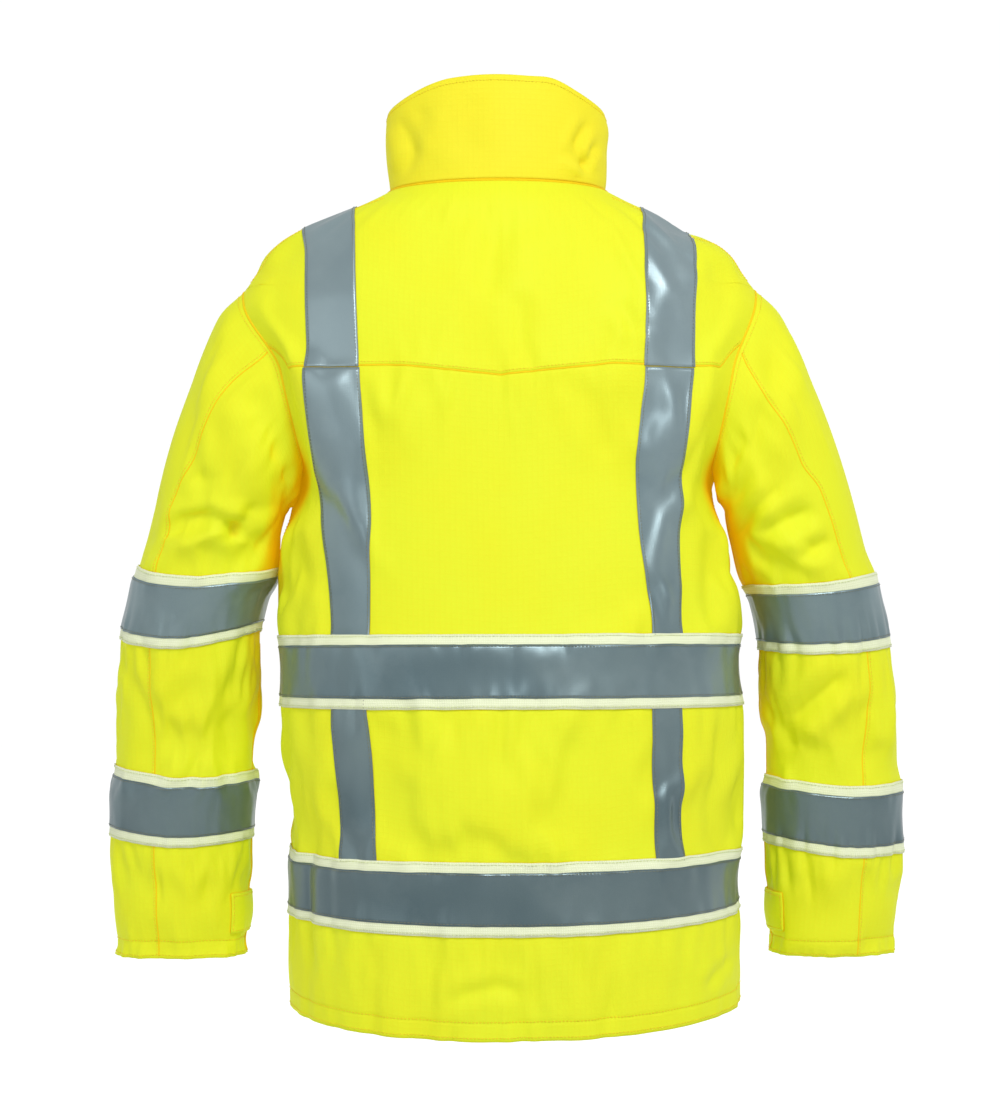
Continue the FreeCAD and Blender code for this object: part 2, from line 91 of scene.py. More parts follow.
# The body's half width, back depth and squareness by height, in millimetres, as the CAD panels have.
HALF_WIDTH = [
    (0, 108), (-14, 134), (-34, 175), (-58, 213), (-84, 241), (-125, 266), (-190, 270),
    (-250, 242), (-302, 212), (-325, 215), (-350, 220), (-400, 226), (-450, 230),
    (-500, 231), (-580, 229), (-670, 226), (-822, 221),
]
BACK_DEPTH = [
    (0, 75), (-14, 87), (-34, 101), (-58, 114), (-84, 124), (-125, 137), (-190, 147),
    (-300, 156), (-400, 165), (-480, 172), (-600, 175), (-690, 177), (-822, 175),
]
BACK_SQUARENESS = [(0, 2.0), (-60, 2.3), (-190, 2.5), (-480, 2.5), (-822, 2.4)]
FRONT_SQUARENESS = [(0, 2.6), (-60, 2.8), (-190, 3.0), (-822, 3.0)]
FRONT_BRACE = [(0, 160), (-190, 160), (-450, 156), (-822, 150)]
# The back braces by height: their middle and their width where the cloth turns away, in millimetres.
BACK_BRACE_MIDDLE = {
    "left": [(0, 160), (-190, 160), (-260, 156), (-330, 152), (-450, 150), (-590, 146), (-650, 142)],
    "right": [
        (0, 162), (-190, 161), (-236, 155), (-283, 148), (-340, 149), (-423, 153), (-520, 150), (-650, 152),
    ],
}
BACK_BRACE_WIDTH = {
    "left": [(0, 50), (-330, 53), (-376, 47), (-450, 42), (-520, 38), (-650, 38)],
    "right": [(0, 50), (-190, 48), (-283, 42), (-340, 40), (-423, 32), (-590, 27), (-650, 28)],
}
# The sleeve's outer and inner edge, rise, half thickness and middle by section depth, in millimetres.
SLEEVE_OUTER = [
    (195.5, 256), (229, 297), (285, 336), (358, 363), (450, 383), (572, 397), (641, 401), (766, 395),
]
# How far each sleeve's outer and inner edge hangs from the shared shape, by section depth.
OUTER_HANG = {
    1.0: [(195.5, 0), (240, -5), (330, -5), (420, 0), (560, 4), (640, 1), (766, 5)],
    -1.0: [(195.5, 0), (400, 1), (520, 5), (640, -3), (766, -6)],
}
INNER_HANG = {
    1.0: [(195.5, 0), (766, 0)],
    -1.0: [(195.5, 0), (285, 0), (400, 8), (520, 6), (640, 1), (766, -1)],
}
SLEEVE_INNER = [
    (195.5, 214), (229, 218), (285, 226), (358, 230), (450, 248), (572, 253), (641, 258), (766, 263),
]
SLEEVE_RISE = [
    (195.5, 103.5), (229, 79), (285, 40), (358, 14.5), (450, 7), (572, 3), (641, 1), (766, 0),
]
SLEEVE_HALF_DEPTH = [(195.5, 80), (229, 84), (285, 80), (358, 74), (450, 67), (572, 60), (766, 52)]
SLEEVE_MIDDLE_Y = [(195.5, 10), (229, 8), (285, 0), (358, -8), (450, -20), (572, -34), (766, -52)]
SLEEVE_SQUARENESS = 2.2


def smoothstep(x, start=0.0, stop=1.0):
    t = np.clip((np.asarray(x, float) - start) / (stop - start), 0, 1)
    return t * t * (3 - 2 * t)


def profile(points, unit=MM):
    """A smooth function through (position, value) points that never overshoots them."""
    points = sorted(points)
    xs = np.array([p[0] for p in points]) * MM
    ys = np.array([p[1] for p in points], float) * unit
    steps = np.diff(ys) / np.diff(xs)
    slopes = np.empty(len(xs))
    slopes[0], slopes[-1] = steps[0], steps[-1]
    for i in range(1, len(xs) - 1):
        before, after = steps[i - 1], steps[i]
        slopes[i] = 0 if before * after <= 0 else 2 * before * after / (before + after)

    def value(x):
        x = np.asarray(x, float)
        i = np.clip(np.searchsorted(xs, x, side="right") - 1, 0, len(xs) - 2)
        width = xs[i + 1] - xs[i]
        t = np.clip((x - xs[i]) / width, 0, 1)
        inside = (
            ys[i] * (1 + 2 * t) * (1 - t) ** 2
            + slopes[i] * width * t * (1 - t) ** 2
            + ys[i + 1] * t * t * (3 - 2 * t)
            - slopes[i + 1] * width * t * t * (1 - t)
        )
        past = np.minimum(x - xs[0], 0) * slopes[0] + np.maximum(x - xs[-1], 0) * slopes[-1]
        return inside + past

    return value


half_width = profile(HALF_WIDTH)
back_depth = profile(BACK_DEPTH)
back_squareness = profile(BACK_SQUARENESS, 1)
front_squareness = profile(FRONT_SQUARENESS, 1)
front_brace = profile(FRONT_BRACE)
outer_hang = {side: profile(points) for side, points in OUTER_HANG.items()}
inner_hang = {side: profile(points) for side, points in INNER_HANG.items()}
sleeve_outer = profile(SLEEVE_OUTER)
sleeve_inner = profile(SLEEVE_INNER)
sleeve_rise = profile(SLEEVE_RISE)
sleeve_half_depth = profile(SLEEVE_HALF_DEPTH)
sleeve_middle_y = profile(SLEEVE_MIDDLE_Y)


def front_depth(z):
    return FRONT_AT_NECK - FRONT_LEAN * z


# ---------------------------------------------------------------- undraped surfaces
def ring_radius(angle, width, back, front, back_power, front_power):
    side, fore = np.abs(np.sin(angle)), np.cos(angle)
    depth = np.where(fore > 0, back, front)
    power = np.where(fore > 0, back_power, front_power)
    return ((side / width) ** power + (np.abs(fore) / depth) ** power) ** (-1 / power)


def body_base(degrees, z):
    """Outside of the body, degrees round from the centre back at height z."""
    angle = np.radians(degrees)
    radius = ring_radius(
        angle, half_width(z), back_depth(z), front_depth(z), back_squareness(z), front_squareness(z)
    )
    return np.stack([radius * np.sin(angle), radius * np.cos(angle), z + 0 * radius], -1)


def body_angle(x, z, facing):
    """Degrees round from the centre back of the body's point at x on its back (1) or front (-1)."""
    depth = np.where(facing > 0, back_depth(z), front_depth(z))
    power = np.where(facing > 0, back_squareness(z), front_squareness(z))
    share = np.clip(np.abs(x) / half_width(z), 0, 0.9999)
    y = facing * depth * (1 - share**power) ** (1 / power)
    return np.degrees(np.arctan2(x, y))


def in_body(x, y, z):
    """Below 1 inside the body's surface, 1 on it and more outside."""
    depth = np.where(y > 0, back_depth(z), front_depth(z))
    power = np.where(y > 0, back_squareness(z), front_squareness(z))
    return (np.abs(x) / half_width(z)) ** power + (np.abs(y) / depth) ** power


def first_outside(point_at, high):
    """The smallest distance at which point_at(distance) leaves the body, by steps and then by halving."""
    step = high / 64
    low, found = np.zeros_like(high), np.zeros(high.shape, bool)
    for _ in range(63):
        found |= in_body(*np.moveaxis(point_at(low + step), -1, 0)) >= 1
        low = np.where(found, low, low + step)
    high = low + step
    for _ in range(30):
        reach = (low + high) / 2
        inside = in_body(*np.moveaxis(point_at(reach), -1, 0)) < 1
        low, high = np.where(inside, reach, low), np.where(inside, high, reach)
    return reach


def over_shoulder(x, turn):
    """Degrees round and height of the shoulder's point at x: turn 0 is the yoke seam, 180 the chest."""
    across, up = np.cos(np.radians(turn)), np.sin(np.radians(turn))
    x = x + 0 * turn

    def at(reach):
        return np.stack([x, reach * across, reach * up + YOKE_Z], -1)

    x_, y, z = np.moveaxis(at(first_outside(at, np.full(x.shape, -YOKE_Z))), -1, 0)
    return np.degrees(np.arctan2(x_, y)), z


def collar_base(degrees, share):
    angle = np.radians(degrees)
    rim = (COLLAR_BACK + COLLAR_FRONT) / 2 + (COLLAR_BACK - COLLAR_FRONT) / 2 * np.cos(angle)
    z = share * rim
    width = half_width(0) + 0.003 * np.sin(np.pi * share)
    back = back_depth(0) - 0.003 * share
    radius = ring_radius(angle, width, back, front_depth(z), 2.0, 2.6)
    return np.stack([radius * np.sin(angle), radius * np.cos(angle), z], -1)


def sleeve_frame(depth, side):
    rise = sleeve_rise(depth)
    zero = 0 * depth
    outer = np.stack([side * (sleeve_outer(depth) + outer_hang[side](depth)), zero, -depth + rise], -1)
    inner = np.stack([side * (sleeve_inner(depth) + inner_hang[side](depth)), zero, -depth - rise], -1)
    across = outer - inner
    length = np.linalg.norm(across, axis=-1, keepdims=True)
    middle = (outer + inner) / 2 + np.stack([zero, sleeve_middle_y(depth), zero], -1)
    return middle, across / length, length[..., 0] / 2


def sleeve_base(degrees, depth, side):
    """Outside of a sleeve: degrees 0 is its outer edge, 90 its front, 180 its underarm seam."""
    angle = np.radians(degrees)
    middle, across, half = sleeve_frame(depth, side)
    power = SLEEVE_SQUARENESS
    radius = (
        np.abs(np.cos(angle) / half) ** power
        + np.abs(np.sin(angle) / sleeve_half_depth(depth)) ** power
    ) ** (-1 / power)
    start, start_across, _ = sleeve_frame(np.full_like(depth, ARMHOLE_DEPTH), side)
    forward = np.zeros_like(start)
    forward[..., 1] = -1
    spoke = start_across * np.cos(angle)[..., None] + forward * np.sin(angle)[..., None]
    armhole = first_outside(lambda reach: start + spoke * reach[..., None], np.full_like(radius, 0.16))
    near = 1 - smoothstep(depth, ARMHOLE_DEPTH, ARMHOLE_DEPTH + 0.06)
    radius = radius * (1 - near) + armhole * near
    return middle + across * (radius * np.cos(angle))[..., None] + forward * (
        radius * np.sin(angle)
    )[..., None]


# ---------------------------------------------------------------- draped surfaces
class Cloth:
    """A fine grid of draped points, sampled for every piece that lies on it.

    It is a closed ring: u is degrees round it, and v runs from one open end to the other.
    """

    def __init__(self, base, v_range, u_count, v_count):
        self.us = np.linspace(0, 360, u_count)
        self.vs = np.linspace(*v_range, v_count)
        u, v = np.meshgrid(self.us, self.vs, indexing="ij")
        self.points = base(u, v)
        self.refresh()

    def refresh(self):
        """Works out the normals again after the points have moved."""
        p = self.points
        along_u = np.roll(p[:-1], -1, 0) - np.roll(p[:-1], 1, 0)
        along_u = np.concatenate([along_u, along_u[:1]])
        along_v = np.gradient(p, axis=1)
        normal = np.cross(along_u, along_v)
        length = np.linalg.norm(normal, axis=-1, keepdims=True)
        normal = normal / np.maximum(length, 1e-12)
        away = p - p.mean(axis=0, keepdims=True)
        flip = np.sign((normal * away).sum(-1).mean())
        self.normals = normal * flip

    def _look_up(self, values, u, v):
        u, v = np.mod(np.asarray(u, float), 360.0), np.asarray(v, float)
        a = np.clip((u - self.us[0]) / (self.us[1] - self.us[0]), 0, len(self.us) - 1.000001)
        b = np.clip((v - self.vs[0]) / (self.vs[1] - self.vs[0]), 0, len(self.vs) - 1.000001)
        i, j = a.astype(int), b.astype(int)
        s, t = (a - i)[..., None], (b - j)[..., None]
        return (
            values[i, j] * (1 - s) * (1 - t)
            + values[i + 1, j] * s * (1 - t)
            + values[i, j + 1] * (1 - s) * t
            + values[i + 1, j + 1] * s * t
        )

    def at(self, u, v, offset=0.0):
        """Points offset outward from the draped cloth."""
        u, v = np.broadcast_arrays(np.asarray(u, float), np.asarray(v, float))
        offset = np.asarray(offset, float)
        if offset.ndim:
            offset = offset[..., None]
        return self._look_up(self.points, u, v) + self.normal(u, v) * offset

    def normal(self, u, v):
        normal = self._look_up(self.normals, u, v)
        return normal / np.linalg.norm(normal, axis=-1, keepdims=True)


BODY = Cloth(body_base, (0, HEM_Z), 481, 225)
COLLAR = Cloth(collar_base, (0, 1.12), 361, 34)
SLEEVES = {
    name: Cloth(lambda u, v, s=side: sleeve_base(u, v, s), (ARMHOLE_DEPTH, CUFF_DEPTH), 241, 173)
    for name, side in SIDES.items()
}


# ---------------------------------------------------------------- nodes for materials
class Nodes:
    """Short calls for building a shader's node tree."""

    def __init__(self, name):
        self.material = bpy.data.materials.new(name)
        self.material.use_nodes = True
        self.tree = self.material.node_tree
        self.shader = self.tree.nodes["Principled BSDF"]

    def add(self, kind, **inputs):
        """A node with its inputs set: Some_Name is the input "Some Name", and _0 is the first one."""
        node = self.tree.nodes.new(kind)
        for key, value in inputs.items():
            numbered = key[0] == "_"
            self.set(node.inputs[int(key[1:]) if numbered else key.replace("_", " ")], value)
        return node

    def set(self, socket, value):
        if isinstance(value, bpy.types.NodeSocket):
            self.tree.links.new(value, socket)
        elif value is not None:
            socket.default_value = value

    def metres(self):
        """The cloth's own coordinates: metres along its width and length."""
        return self.add("ShaderNodeUVMap").outputs["UV"]

    def split(self, vector):
        node = self.add("ShaderNodeSeparateXYZ", Vector=vector)
        return node.outputs["X"], node.outputs["Y"]

    def math(self, operation, a, b=None, c=None):
        node = self.add("ShaderNodeMath", _0=a, _1=b, _2=c)
        node.operation = operation
        return node.outputs[0]

    def noise(self, vector, scale, detail=3.0, roughness=0.5):
        node = self.add("ShaderNodeTexNoise", Vector=vector, Scale=scale, Detail=detail, Roughness=roughness)
        return node.outputs["Fac"]

    def mix(self, share, a, b):
        node = self.tree.nodes.new("ShaderNodeMix")
        node.data_type = "RGBA"
        self.set(node.inputs["Factor"], share)
        self.set(node.inputs["A"], a)
        self.set(node.inputs["B"], b)
        return node.outputs["Result"]

    def ramp(self, value, low, high, to_low=0.0, to_high=1.0):
        node = self.add("ShaderNodeMapRange", Value=value)
        for key, number in (("From Min", low), ("From Max", high), ("To Min", to_low), ("To Max", to_high)):
            node.inputs[key].default_value = number
        return node.outputs["Result"]

    def ridges(self, value, pitch, sharpness=1.0):
        """0 to 1 waves of the given pitch along a coordinate."""
        wave = self.math("SINE", self.math("MULTIPLY", value, 2 * math.pi / pitch))
        wave = self.math("MULTIPLY_ADD", wave, 0.5, 0.5)
        return self.math("POWER", wave, sharpness) if sharpness != 1.0 else wave

    def bump(self, height, distance, strength=1.0):
        node = self.add("ShaderNodeBump", Height=height, Distance=distance, Strength=strength)
        self.set(self.shader.inputs["Normal"], node.outputs["Normal"])

    def surface(self, **inputs):
        for key, value in inputs.items():
            self.set(self.shader.inputs[key.replace("_", " ")], value)
        return self.material


def rgba(r, g, b):
    return (r, g, b, 1.0)


def hi_vis(name, bright, fold_shade_colour):
    """Fluorescent ripstop: fine threads and a thicker thread every few millimetres, with painted shade that
    turns the colour a deeper orange in the folds and hollows.

    A painted yellow-green glow (emission) stands in for fluorescence and keeps the shaded cloth bright.
    """
    n = Nodes(name)
    uv = n.metres()
    u, v = n.split(uv)
    warp, weft = n.ridges(u, 0.0011), n.ridges(v, 0.0011)
    weave = n.math("MULTIPLY", warp, weft)
    ripstop = n.math("MAXIMUM", n.ridges(u, 0.0052, 14.0), n.ridges(v, 0.0052, 14.0))
    wear = n.noise(uv, 9.0, 4.0)
    # Painted glow: an emission colour, orange in the folds, stands in for fluorescence and lifts the shaded
    # cloth.
    painted_glow, painted_fold_glow = [(r * 0.16, g * 0.26, 0.0, 1.0) for r, g, _ in (bright, fold_shade_colour)]
    # Painted shade: ambient occlusion turns the colour towards the orange fold colour in folds and hollows.
    painted_fold_shade = n.add("ShaderNodeAmbientOcclusion", Distance=0.045).outputs["AO"]
    painted_fold_shade = n.ramp(painted_fold_shade, 0.75, 0.15, 0.0, 0.9)
    shade = n.math("MULTIPLY_ADD", n.ramp(wear, 0.35, 0.7), 0.10, painted_fold_shade)
    shade = n.math("ADD", shade, n.math("MULTIPLY", ripstop, 0.05))
    colour = n.mix(n.math("MINIMUM", shade, 1.0), rgba(*bright), rgba(*fold_shade_colour))
    height = n.math("ADD", n.math("MULTIPLY", weave, 0.35), n.math("MULTIPLY", ripstop, 0.65))
    n.bump(height, 0.00018, 0.55)
    rough = n.ramp(wear, 0.3, 0.7, 0.62, 0.78)
    return n.surface(
        Base_Color=colour, Roughness=rough, Specular_IOR_Level=0.18,
        Emission_Color=n.mix(n.math("MINIMUM", shade, 1.0), painted_glow, painted_fold_glow), Emission_Strength=1.0,
    )


def silver_tape(name):
    """Retro-reflective tape: grey glass-bead face with a faint cross-hatch and handling marks in its bump and
    gloss, and lighter and darker patches of painted reflection in its colour.
    """
    n = Nodes(name)
    uv = n.metres()
    u, v = n.split(uv)
    cloud = n.noise(uv, 14.0, 4.0, 0.6)
    beads = n.noise(uv, 2600.0, 1.0)
    hatch = n.math("MULTIPLY", n.ridges(u, 0.0016), n.ridges(v, 0.0016))
    # Painted reflections: the broad patches and the lighter clouds in the colour stand in for reflections of
    # the lights.
    painted_reflection_patches = n.noise(uv, 5.0, 2.0, 0.6)
    colour = n.mix(n.ramp(painted_reflection_patches, 0.35, 0.65), rgba(0.120, 0.190, 0.215), rgba(0.235, 0.320, 0.335))
    colour = n.mix(n.ramp(cloud, 0.5, 0.75, 0.0, 0.35), colour, rgba(0.30, 0.38, 0.39))
    colour = n.mix(n.ramp(beads, 0.62, 0.8, 0.0, 0.5), colour, rgba(0.55, 0.62, 0.63))
    where = n.add("ShaderNodeTexCoord").outputs["Object"]
    height = n.add("ShaderNodeSeparateXYZ", Vector=where).outputs["Z"]
    # Painted light: the tapes are painted darker towards the hem and cuffs and lighter over the shoulders, as
    # the light from above falls on them.
    colour = n.mix(n.ramp(height, -0.30, -0.66, 0.0, 0.42), colour, rgba(0.035, 0.060, 0.066))
    colour = n.mix(n.ramp(height, -0.45, -0.15, 0.0, 0.38), colour, rgba(0.42, 0.52, 0.55))
    n.bump(n.math("ADD", n.math("MULTIPLY", hatch, 0.5), n.math("MULTIPLY", cloud, 1.5)), 0.00012, 0.5)
    return n.surface(
        Base_Color=colour, Metallic=0.45, Roughness=n.ramp(cloud, 0.3, 0.7, 0.30, 0.44),
        Specular_IOR_Level=0.6,
    )


def woven_tape(name, light, dark, pitch=0.0022):
    """Ribbed narrow tape, with a square weave that shows as fine dots."""
    n = Nodes(name)
    uv = n.metres()
    u, v = n.split(uv)
    dots = n.math("MULTIPLY", n.ridges(u, pitch, 1.6), n.ridges(v, pitch, 1.6))
    cloud = n.noise(uv, 60.0, 3.0)
    share = n.math("MULTIPLY_ADD", cloud, 0.35, n.math("MULTIPLY", dots, 0.65))
    colour = n.mix(share, rgba(*dark), rgba(*light))
    n.bump(dots, 0.00030, 0.7)
    return n.surface(Base_Color=colour, Roughness=n.ramp(dots, 0, 1, 0.8, 0.6), Sheen_Weight=0.15)


def plain_weave(name, light, dark, pitch=0.0009, rough=0.6):
    n = Nodes(name)
    uv = n.metres()
    u, v = n.split(uv)
    weave = n.math("MULTIPLY", n.ridges(u, pitch), n.ridges(v, pitch))
    cloud = n.noise(uv, 25.0, 4.0)
    share = n.math("MULTIPLY_ADD", cloud, 0.5, n.math("MULTIPLY", weave, 0.5))
    n.bump(n.math("MULTIPLY_ADD", cloud, 0.8, weave), 0.00015, 0.5)
    colour = n.mix(share, rgba(*dark), rgba(*light))
    return n.surface(Base_Color=colour, Roughness=n.ramp(cloud, 0.3, 0.7, rough, rough + 0.12))


def thread(name, light, dark):
    """Twisted sewing thread, in object space because each stitch is tiny."""
    n = Nodes(name)
    where = n.add("ShaderNodeTexCoord").outputs["Object"]
    twist = n.noise(where, 900.0, 2.0)
    n.bump(twist, 0.0001, 0.6)
    colour = n.mix(twist, rgba(*dark), rgba(*light))
    return n.surface(Base_Color=colour, Roughness=n.ramp(twist, 0, 1, 0.5, 0.75))


def moulded(name, light, dark, metallic=0.0, rough=0.4):
    """Plastic or metal with fine grain, small scratches and duller worn patches."""
    n = Nodes(name)
    where = n.add("ShaderNodeTexCoord").outputs["Object"]
    grain, patches = n.noise(where, 1800.0, 3.0), n.noise(where, 120.0, 4.0)
    stretched = n.add("ShaderNodeMapping", Vector=where)
    stretched.inputs["Scale"].default_value = (300.0, 300.0, 4000.0)
    scratches = n.noise(stretched.outputs["Vector"], 1.0, 2.0)
    n.bump(n.math("ADD", grain, scratches), 0.00006, 0.5)
    return n.surface(
        Base_Color=n.mix(n.ramp(patches, 0.3, 0.7), rgba(*dark), rgba(*light)), Metallic=metallic,
        Roughness=n.ramp(patches, 0.3, 0.7, rough, rough + 0.18),
    )


# The second colour of each hi-vis material is its painted fold shade.
YELLOW = hi_vis("hi_vis_shell", (0.660, 0.665, 0.022), (0.80, 0.44, 0.0))
WARM_YELLOW = hi_vis("hi_vis_collar", (0.720, 0.620, 0.026), (0.80, 0.40, 0.0))
# Painted shade: the seam laps are a darker orange copy of the hi-vis cloth, standing in for the shade along
# the seams.
SEAM_SHADE_YELLOW = hi_vis("hi_vis_seam_painted_shade", (0.76, 0.50, 0.006), (0.74, 0.32, 0.0))
SILVER_TAPE = silver_tape("retro_reflective_silver")
CREAM = woven_tape("lime_woven_tape", (0.95, 0.97, 0.76), (0.72, 0.79, 0.50))
LINING = plain_weave("navy_taffeta", (0.055, 0.062, 0.085), (0.018, 0.021, 0.032), rough=0.45)
FELT = plain_weave("grey_felt", (0.30, 0.30, 0.31), (0.18, 0.18, 0.19), 0.0031, 0.8)
YELLOW_THREAD = thread("yellow_thread", (0.95, 0.78, 0.02), (0.82, 0.60, 0.01))
GREY_THREAD = thread("grey_thread", (0.30, 0.31, 0.24), (0.10, 0.11, 0.06))
LIME_THREAD = thread("lime_thread", (0.80, 0.88, 0.45), (0.50, 0.58, 0.20))
ZIP_PLASTIC = moulded("zip_acetal", (0.035, 0.035, 0.038), (0.016, 0.016, 0.018))
ZIP_WEAVE = moulded("zip_tape_weave", (0.045, 0.045, 0.05), (0.012, 0.012, 0.014), 0.0, 0.8)
WEBBING = moulded("black_webbing", (0.05, 0.05, 0.055), (0.012, 0.012, 0.014), 0.0, 0.75)
STEEL = moulded("satin_steel", (0.62, 0.62, 0.61), (0.40, 0.40, 0.41), 0.9, 0.28)


# ---------------------------------------------------------------- meshes
def lengths(grid):
    """Metres along the cloth's width and length at every point of a grid."""
    u = np.zeros(grid.shape[:2])
    v = np.zeros(grid.shape[:2])
    u[1:] = np.cumsum(np.linalg.norm(np.diff(grid, axis=0), axis=-1), 0)
    v[:, 1:] = np.cumsum(np.linalg.norm(np.diff(grid, axis=1), axis=-1), 1)
    u -= u[u.shape[0] // 2][None]
    return u, v


def mesh_object(name, vertices, quads, uvs=None):
    """A smooth mesh of four-sided faces, with the cloth's own metres as its UV map."""
    vertices, quads = np.asarray(vertices, np.float32), np.asarray(quads, np.int32)
    mesh = bpy.data.meshes.new(name)
    mesh.vertices.add(len(vertices))
    mesh.vertices.foreach_set("co", vertices.ravel())
    mesh.loops.add(quads.size)
    mesh.loops.foreach_set("vertex_index", quads.ravel())
    mesh.polygons.add(len(quads))
    mesh.polygons.foreach_set("loop_start", np.arange(0, quads.size, 4, dtype=np.int32))
    mesh.polygons.foreach_set("loop_total", np.full(len(quads), 4, np.int32))
    mesh.update(calc_edges=True)
    mesh.polygons.foreach_set("use_smooth", np.ones(len(quads), bool))
    if uvs is not None:
        layer = mesh.uv_layers.new(name="UVMap")
        layer.data.foreach_set("uv", np.asarray(uvs, np.float32)[quads.ravel()].ravel())
    made = bpy.data.objects.new(name, mesh)
    bpy.context.scene.collection.objects.link(made)
    return made


def grid_faces(nu, nv, start=0):
    i, j = np.meshgrid(np.arange(nu - 1), np.arange(nv - 1), indexing="ij")
    a = (start + i * nv + j).ravel()
    return np.stack([a, a + nv, a + nv + 1, a + 1], 1)


def faces_out(faces, points, normals):
    a, b, c = (points[faces[:, k]] for k in range(3))
    return (np.cross(b - a, c - a) * normals[faces[:, 0]]).sum(-1).mean() > 0


def sheet_piece(name, cloth, us, vs, top, thickness, material):
    """A piece of cloth of even thickness over a grid of (u, v): outer face, inner face and edges."""
    us, vs = np.broadcast_arrays(us, vs)
    nu, nv = us.shape
    count = nu * nv
    outer = cloth.at(us, vs, top)
    inner = cloth.at(us, vs, np.asarray(top) - thickness)
    points = np.concatenate([outer.reshape(-1, 3), inner.reshape(-1, 3)])
    front, back = grid_faces(nu, nv), grid_faces(nu, nv, count)[:, ::-1]
    index = np.arange(count).reshape(nu, nv)
    border = np.concatenate([index[:, 0], index[-1, 1:], index[-2::-1, -1], index[0, -2::-1]])
    rim = np.stack([border[1:], border[:-1], border[:-1] + count, border[1:] + count], 1)
    faces = np.concatenate([front, back, rim])
    if not faces_out(front, points, cloth.normal(us, vs).reshape(-1, 3)):
        faces = faces[:, ::-1]
    uv = np.stack([grid.ravel() for grid in lengths(outer)], 1)
    made = mesh_object(name, points, faces, np.concatenate([uv, uv]))
    made.data.materials.append(material)
    return made


STITCH = np.array([
    (-0.5, -0.7, -0.6), (-0.5, 0.7, -0.6), (-0.22, 0.9, 0.8), (-0.22, -0.9, 0.8),
    (0.5, -0.7, -0.6), (0.5, 0.7, -0.6), (0.22, 0.9, 0.8), (0.22, -0.9, 0.8),
])
STITCH_FACES = np.array([(0, 1, 2, 3), (4, 7, 6, 5), (0, 4, 5, 1), (1, 5, 6, 2), (2, 6, 7, 3), (3, 7, 4, 0)])


def stitches(name, runs, pitch, length, radius, material):
    """Sewing stitches along lines of (points, normals), each a short thread that dives in at both ends."""
    vertices = []
    for points, normals in runs:
        walked = np.concatenate([[0], np.cumsum(np.linalg.norm(np.diff(points, axis=0), axis=-1))])
        marks = np.arange(pitch / 2, walked[-1], pitch)

        def along(values, at):
            return np.stack([np.interp(at, walked, values[:, k]) for k in range(3)], 1)

        centre, up = along(points, marks), along(normals, marks)
        ahead = along(points, marks + pitch / 4) - along(points, marks - pitch / 4)
        ahead /= np.maximum(np.linalg.norm(ahead, axis=-1, keepdims=True), 1e-9)
        axes = np.stack([ahead * length, np.cross(up, ahead) * radius, up * radius], 1)
        vertices.append((centre[:, None] + STITCH @ axes).reshape(-1, 3))
    vertices = np.concatenate(vertices)
    faces = (np.arange(0, len(vertices), 8)[:, None, None] + STITCH_FACES).reshape(-1, 4)
    made = mesh_object(name, vertices, faces)
    made.data.materials.append(material)
    return made


# ---------------------------------------------------------------- drape
def smooth_grid(values, rounds, closed):
    """Averages a grid with its neighbours; closed grids wrap round in u."""
    for _ in range(rounds):
        if closed:
            ring = values[:-1]
            ring = 0.5 * ring + 0.25 * (np.roll(ring, 1, 0) + np.roll(ring, -1, 0))
            values = np.concatenate([ring, ring[:1]])
        padded = np.concatenate([values[:, :1], values, values[:, -1:]], 1)
        values = 0.5 * values + 0.25 * (padded[:, :-2] + padded[:, 2:])
    return values


def resample(values, nu, nv):
    """A grid of values at another resolution, linearly."""
    a = np.linspace(0, values.shape[0] - 1.000001, nu)
    b = np.linspace(0, values.shape[1] - 1.000001, nv)
    i, j = a.astype(int)[:, None], b.astype(int)[None]
    s, t = (a - a.astype(int))[:, None], (b - b.astype(int))[None]
    return (
        values[i, j] * (1 - s) * (1 - t) + values[i + 1, j] * s * (1 - t)
        + values[i, j + 1] * (1 - s) * t + values[i + 1, j + 1] * s * t
    )


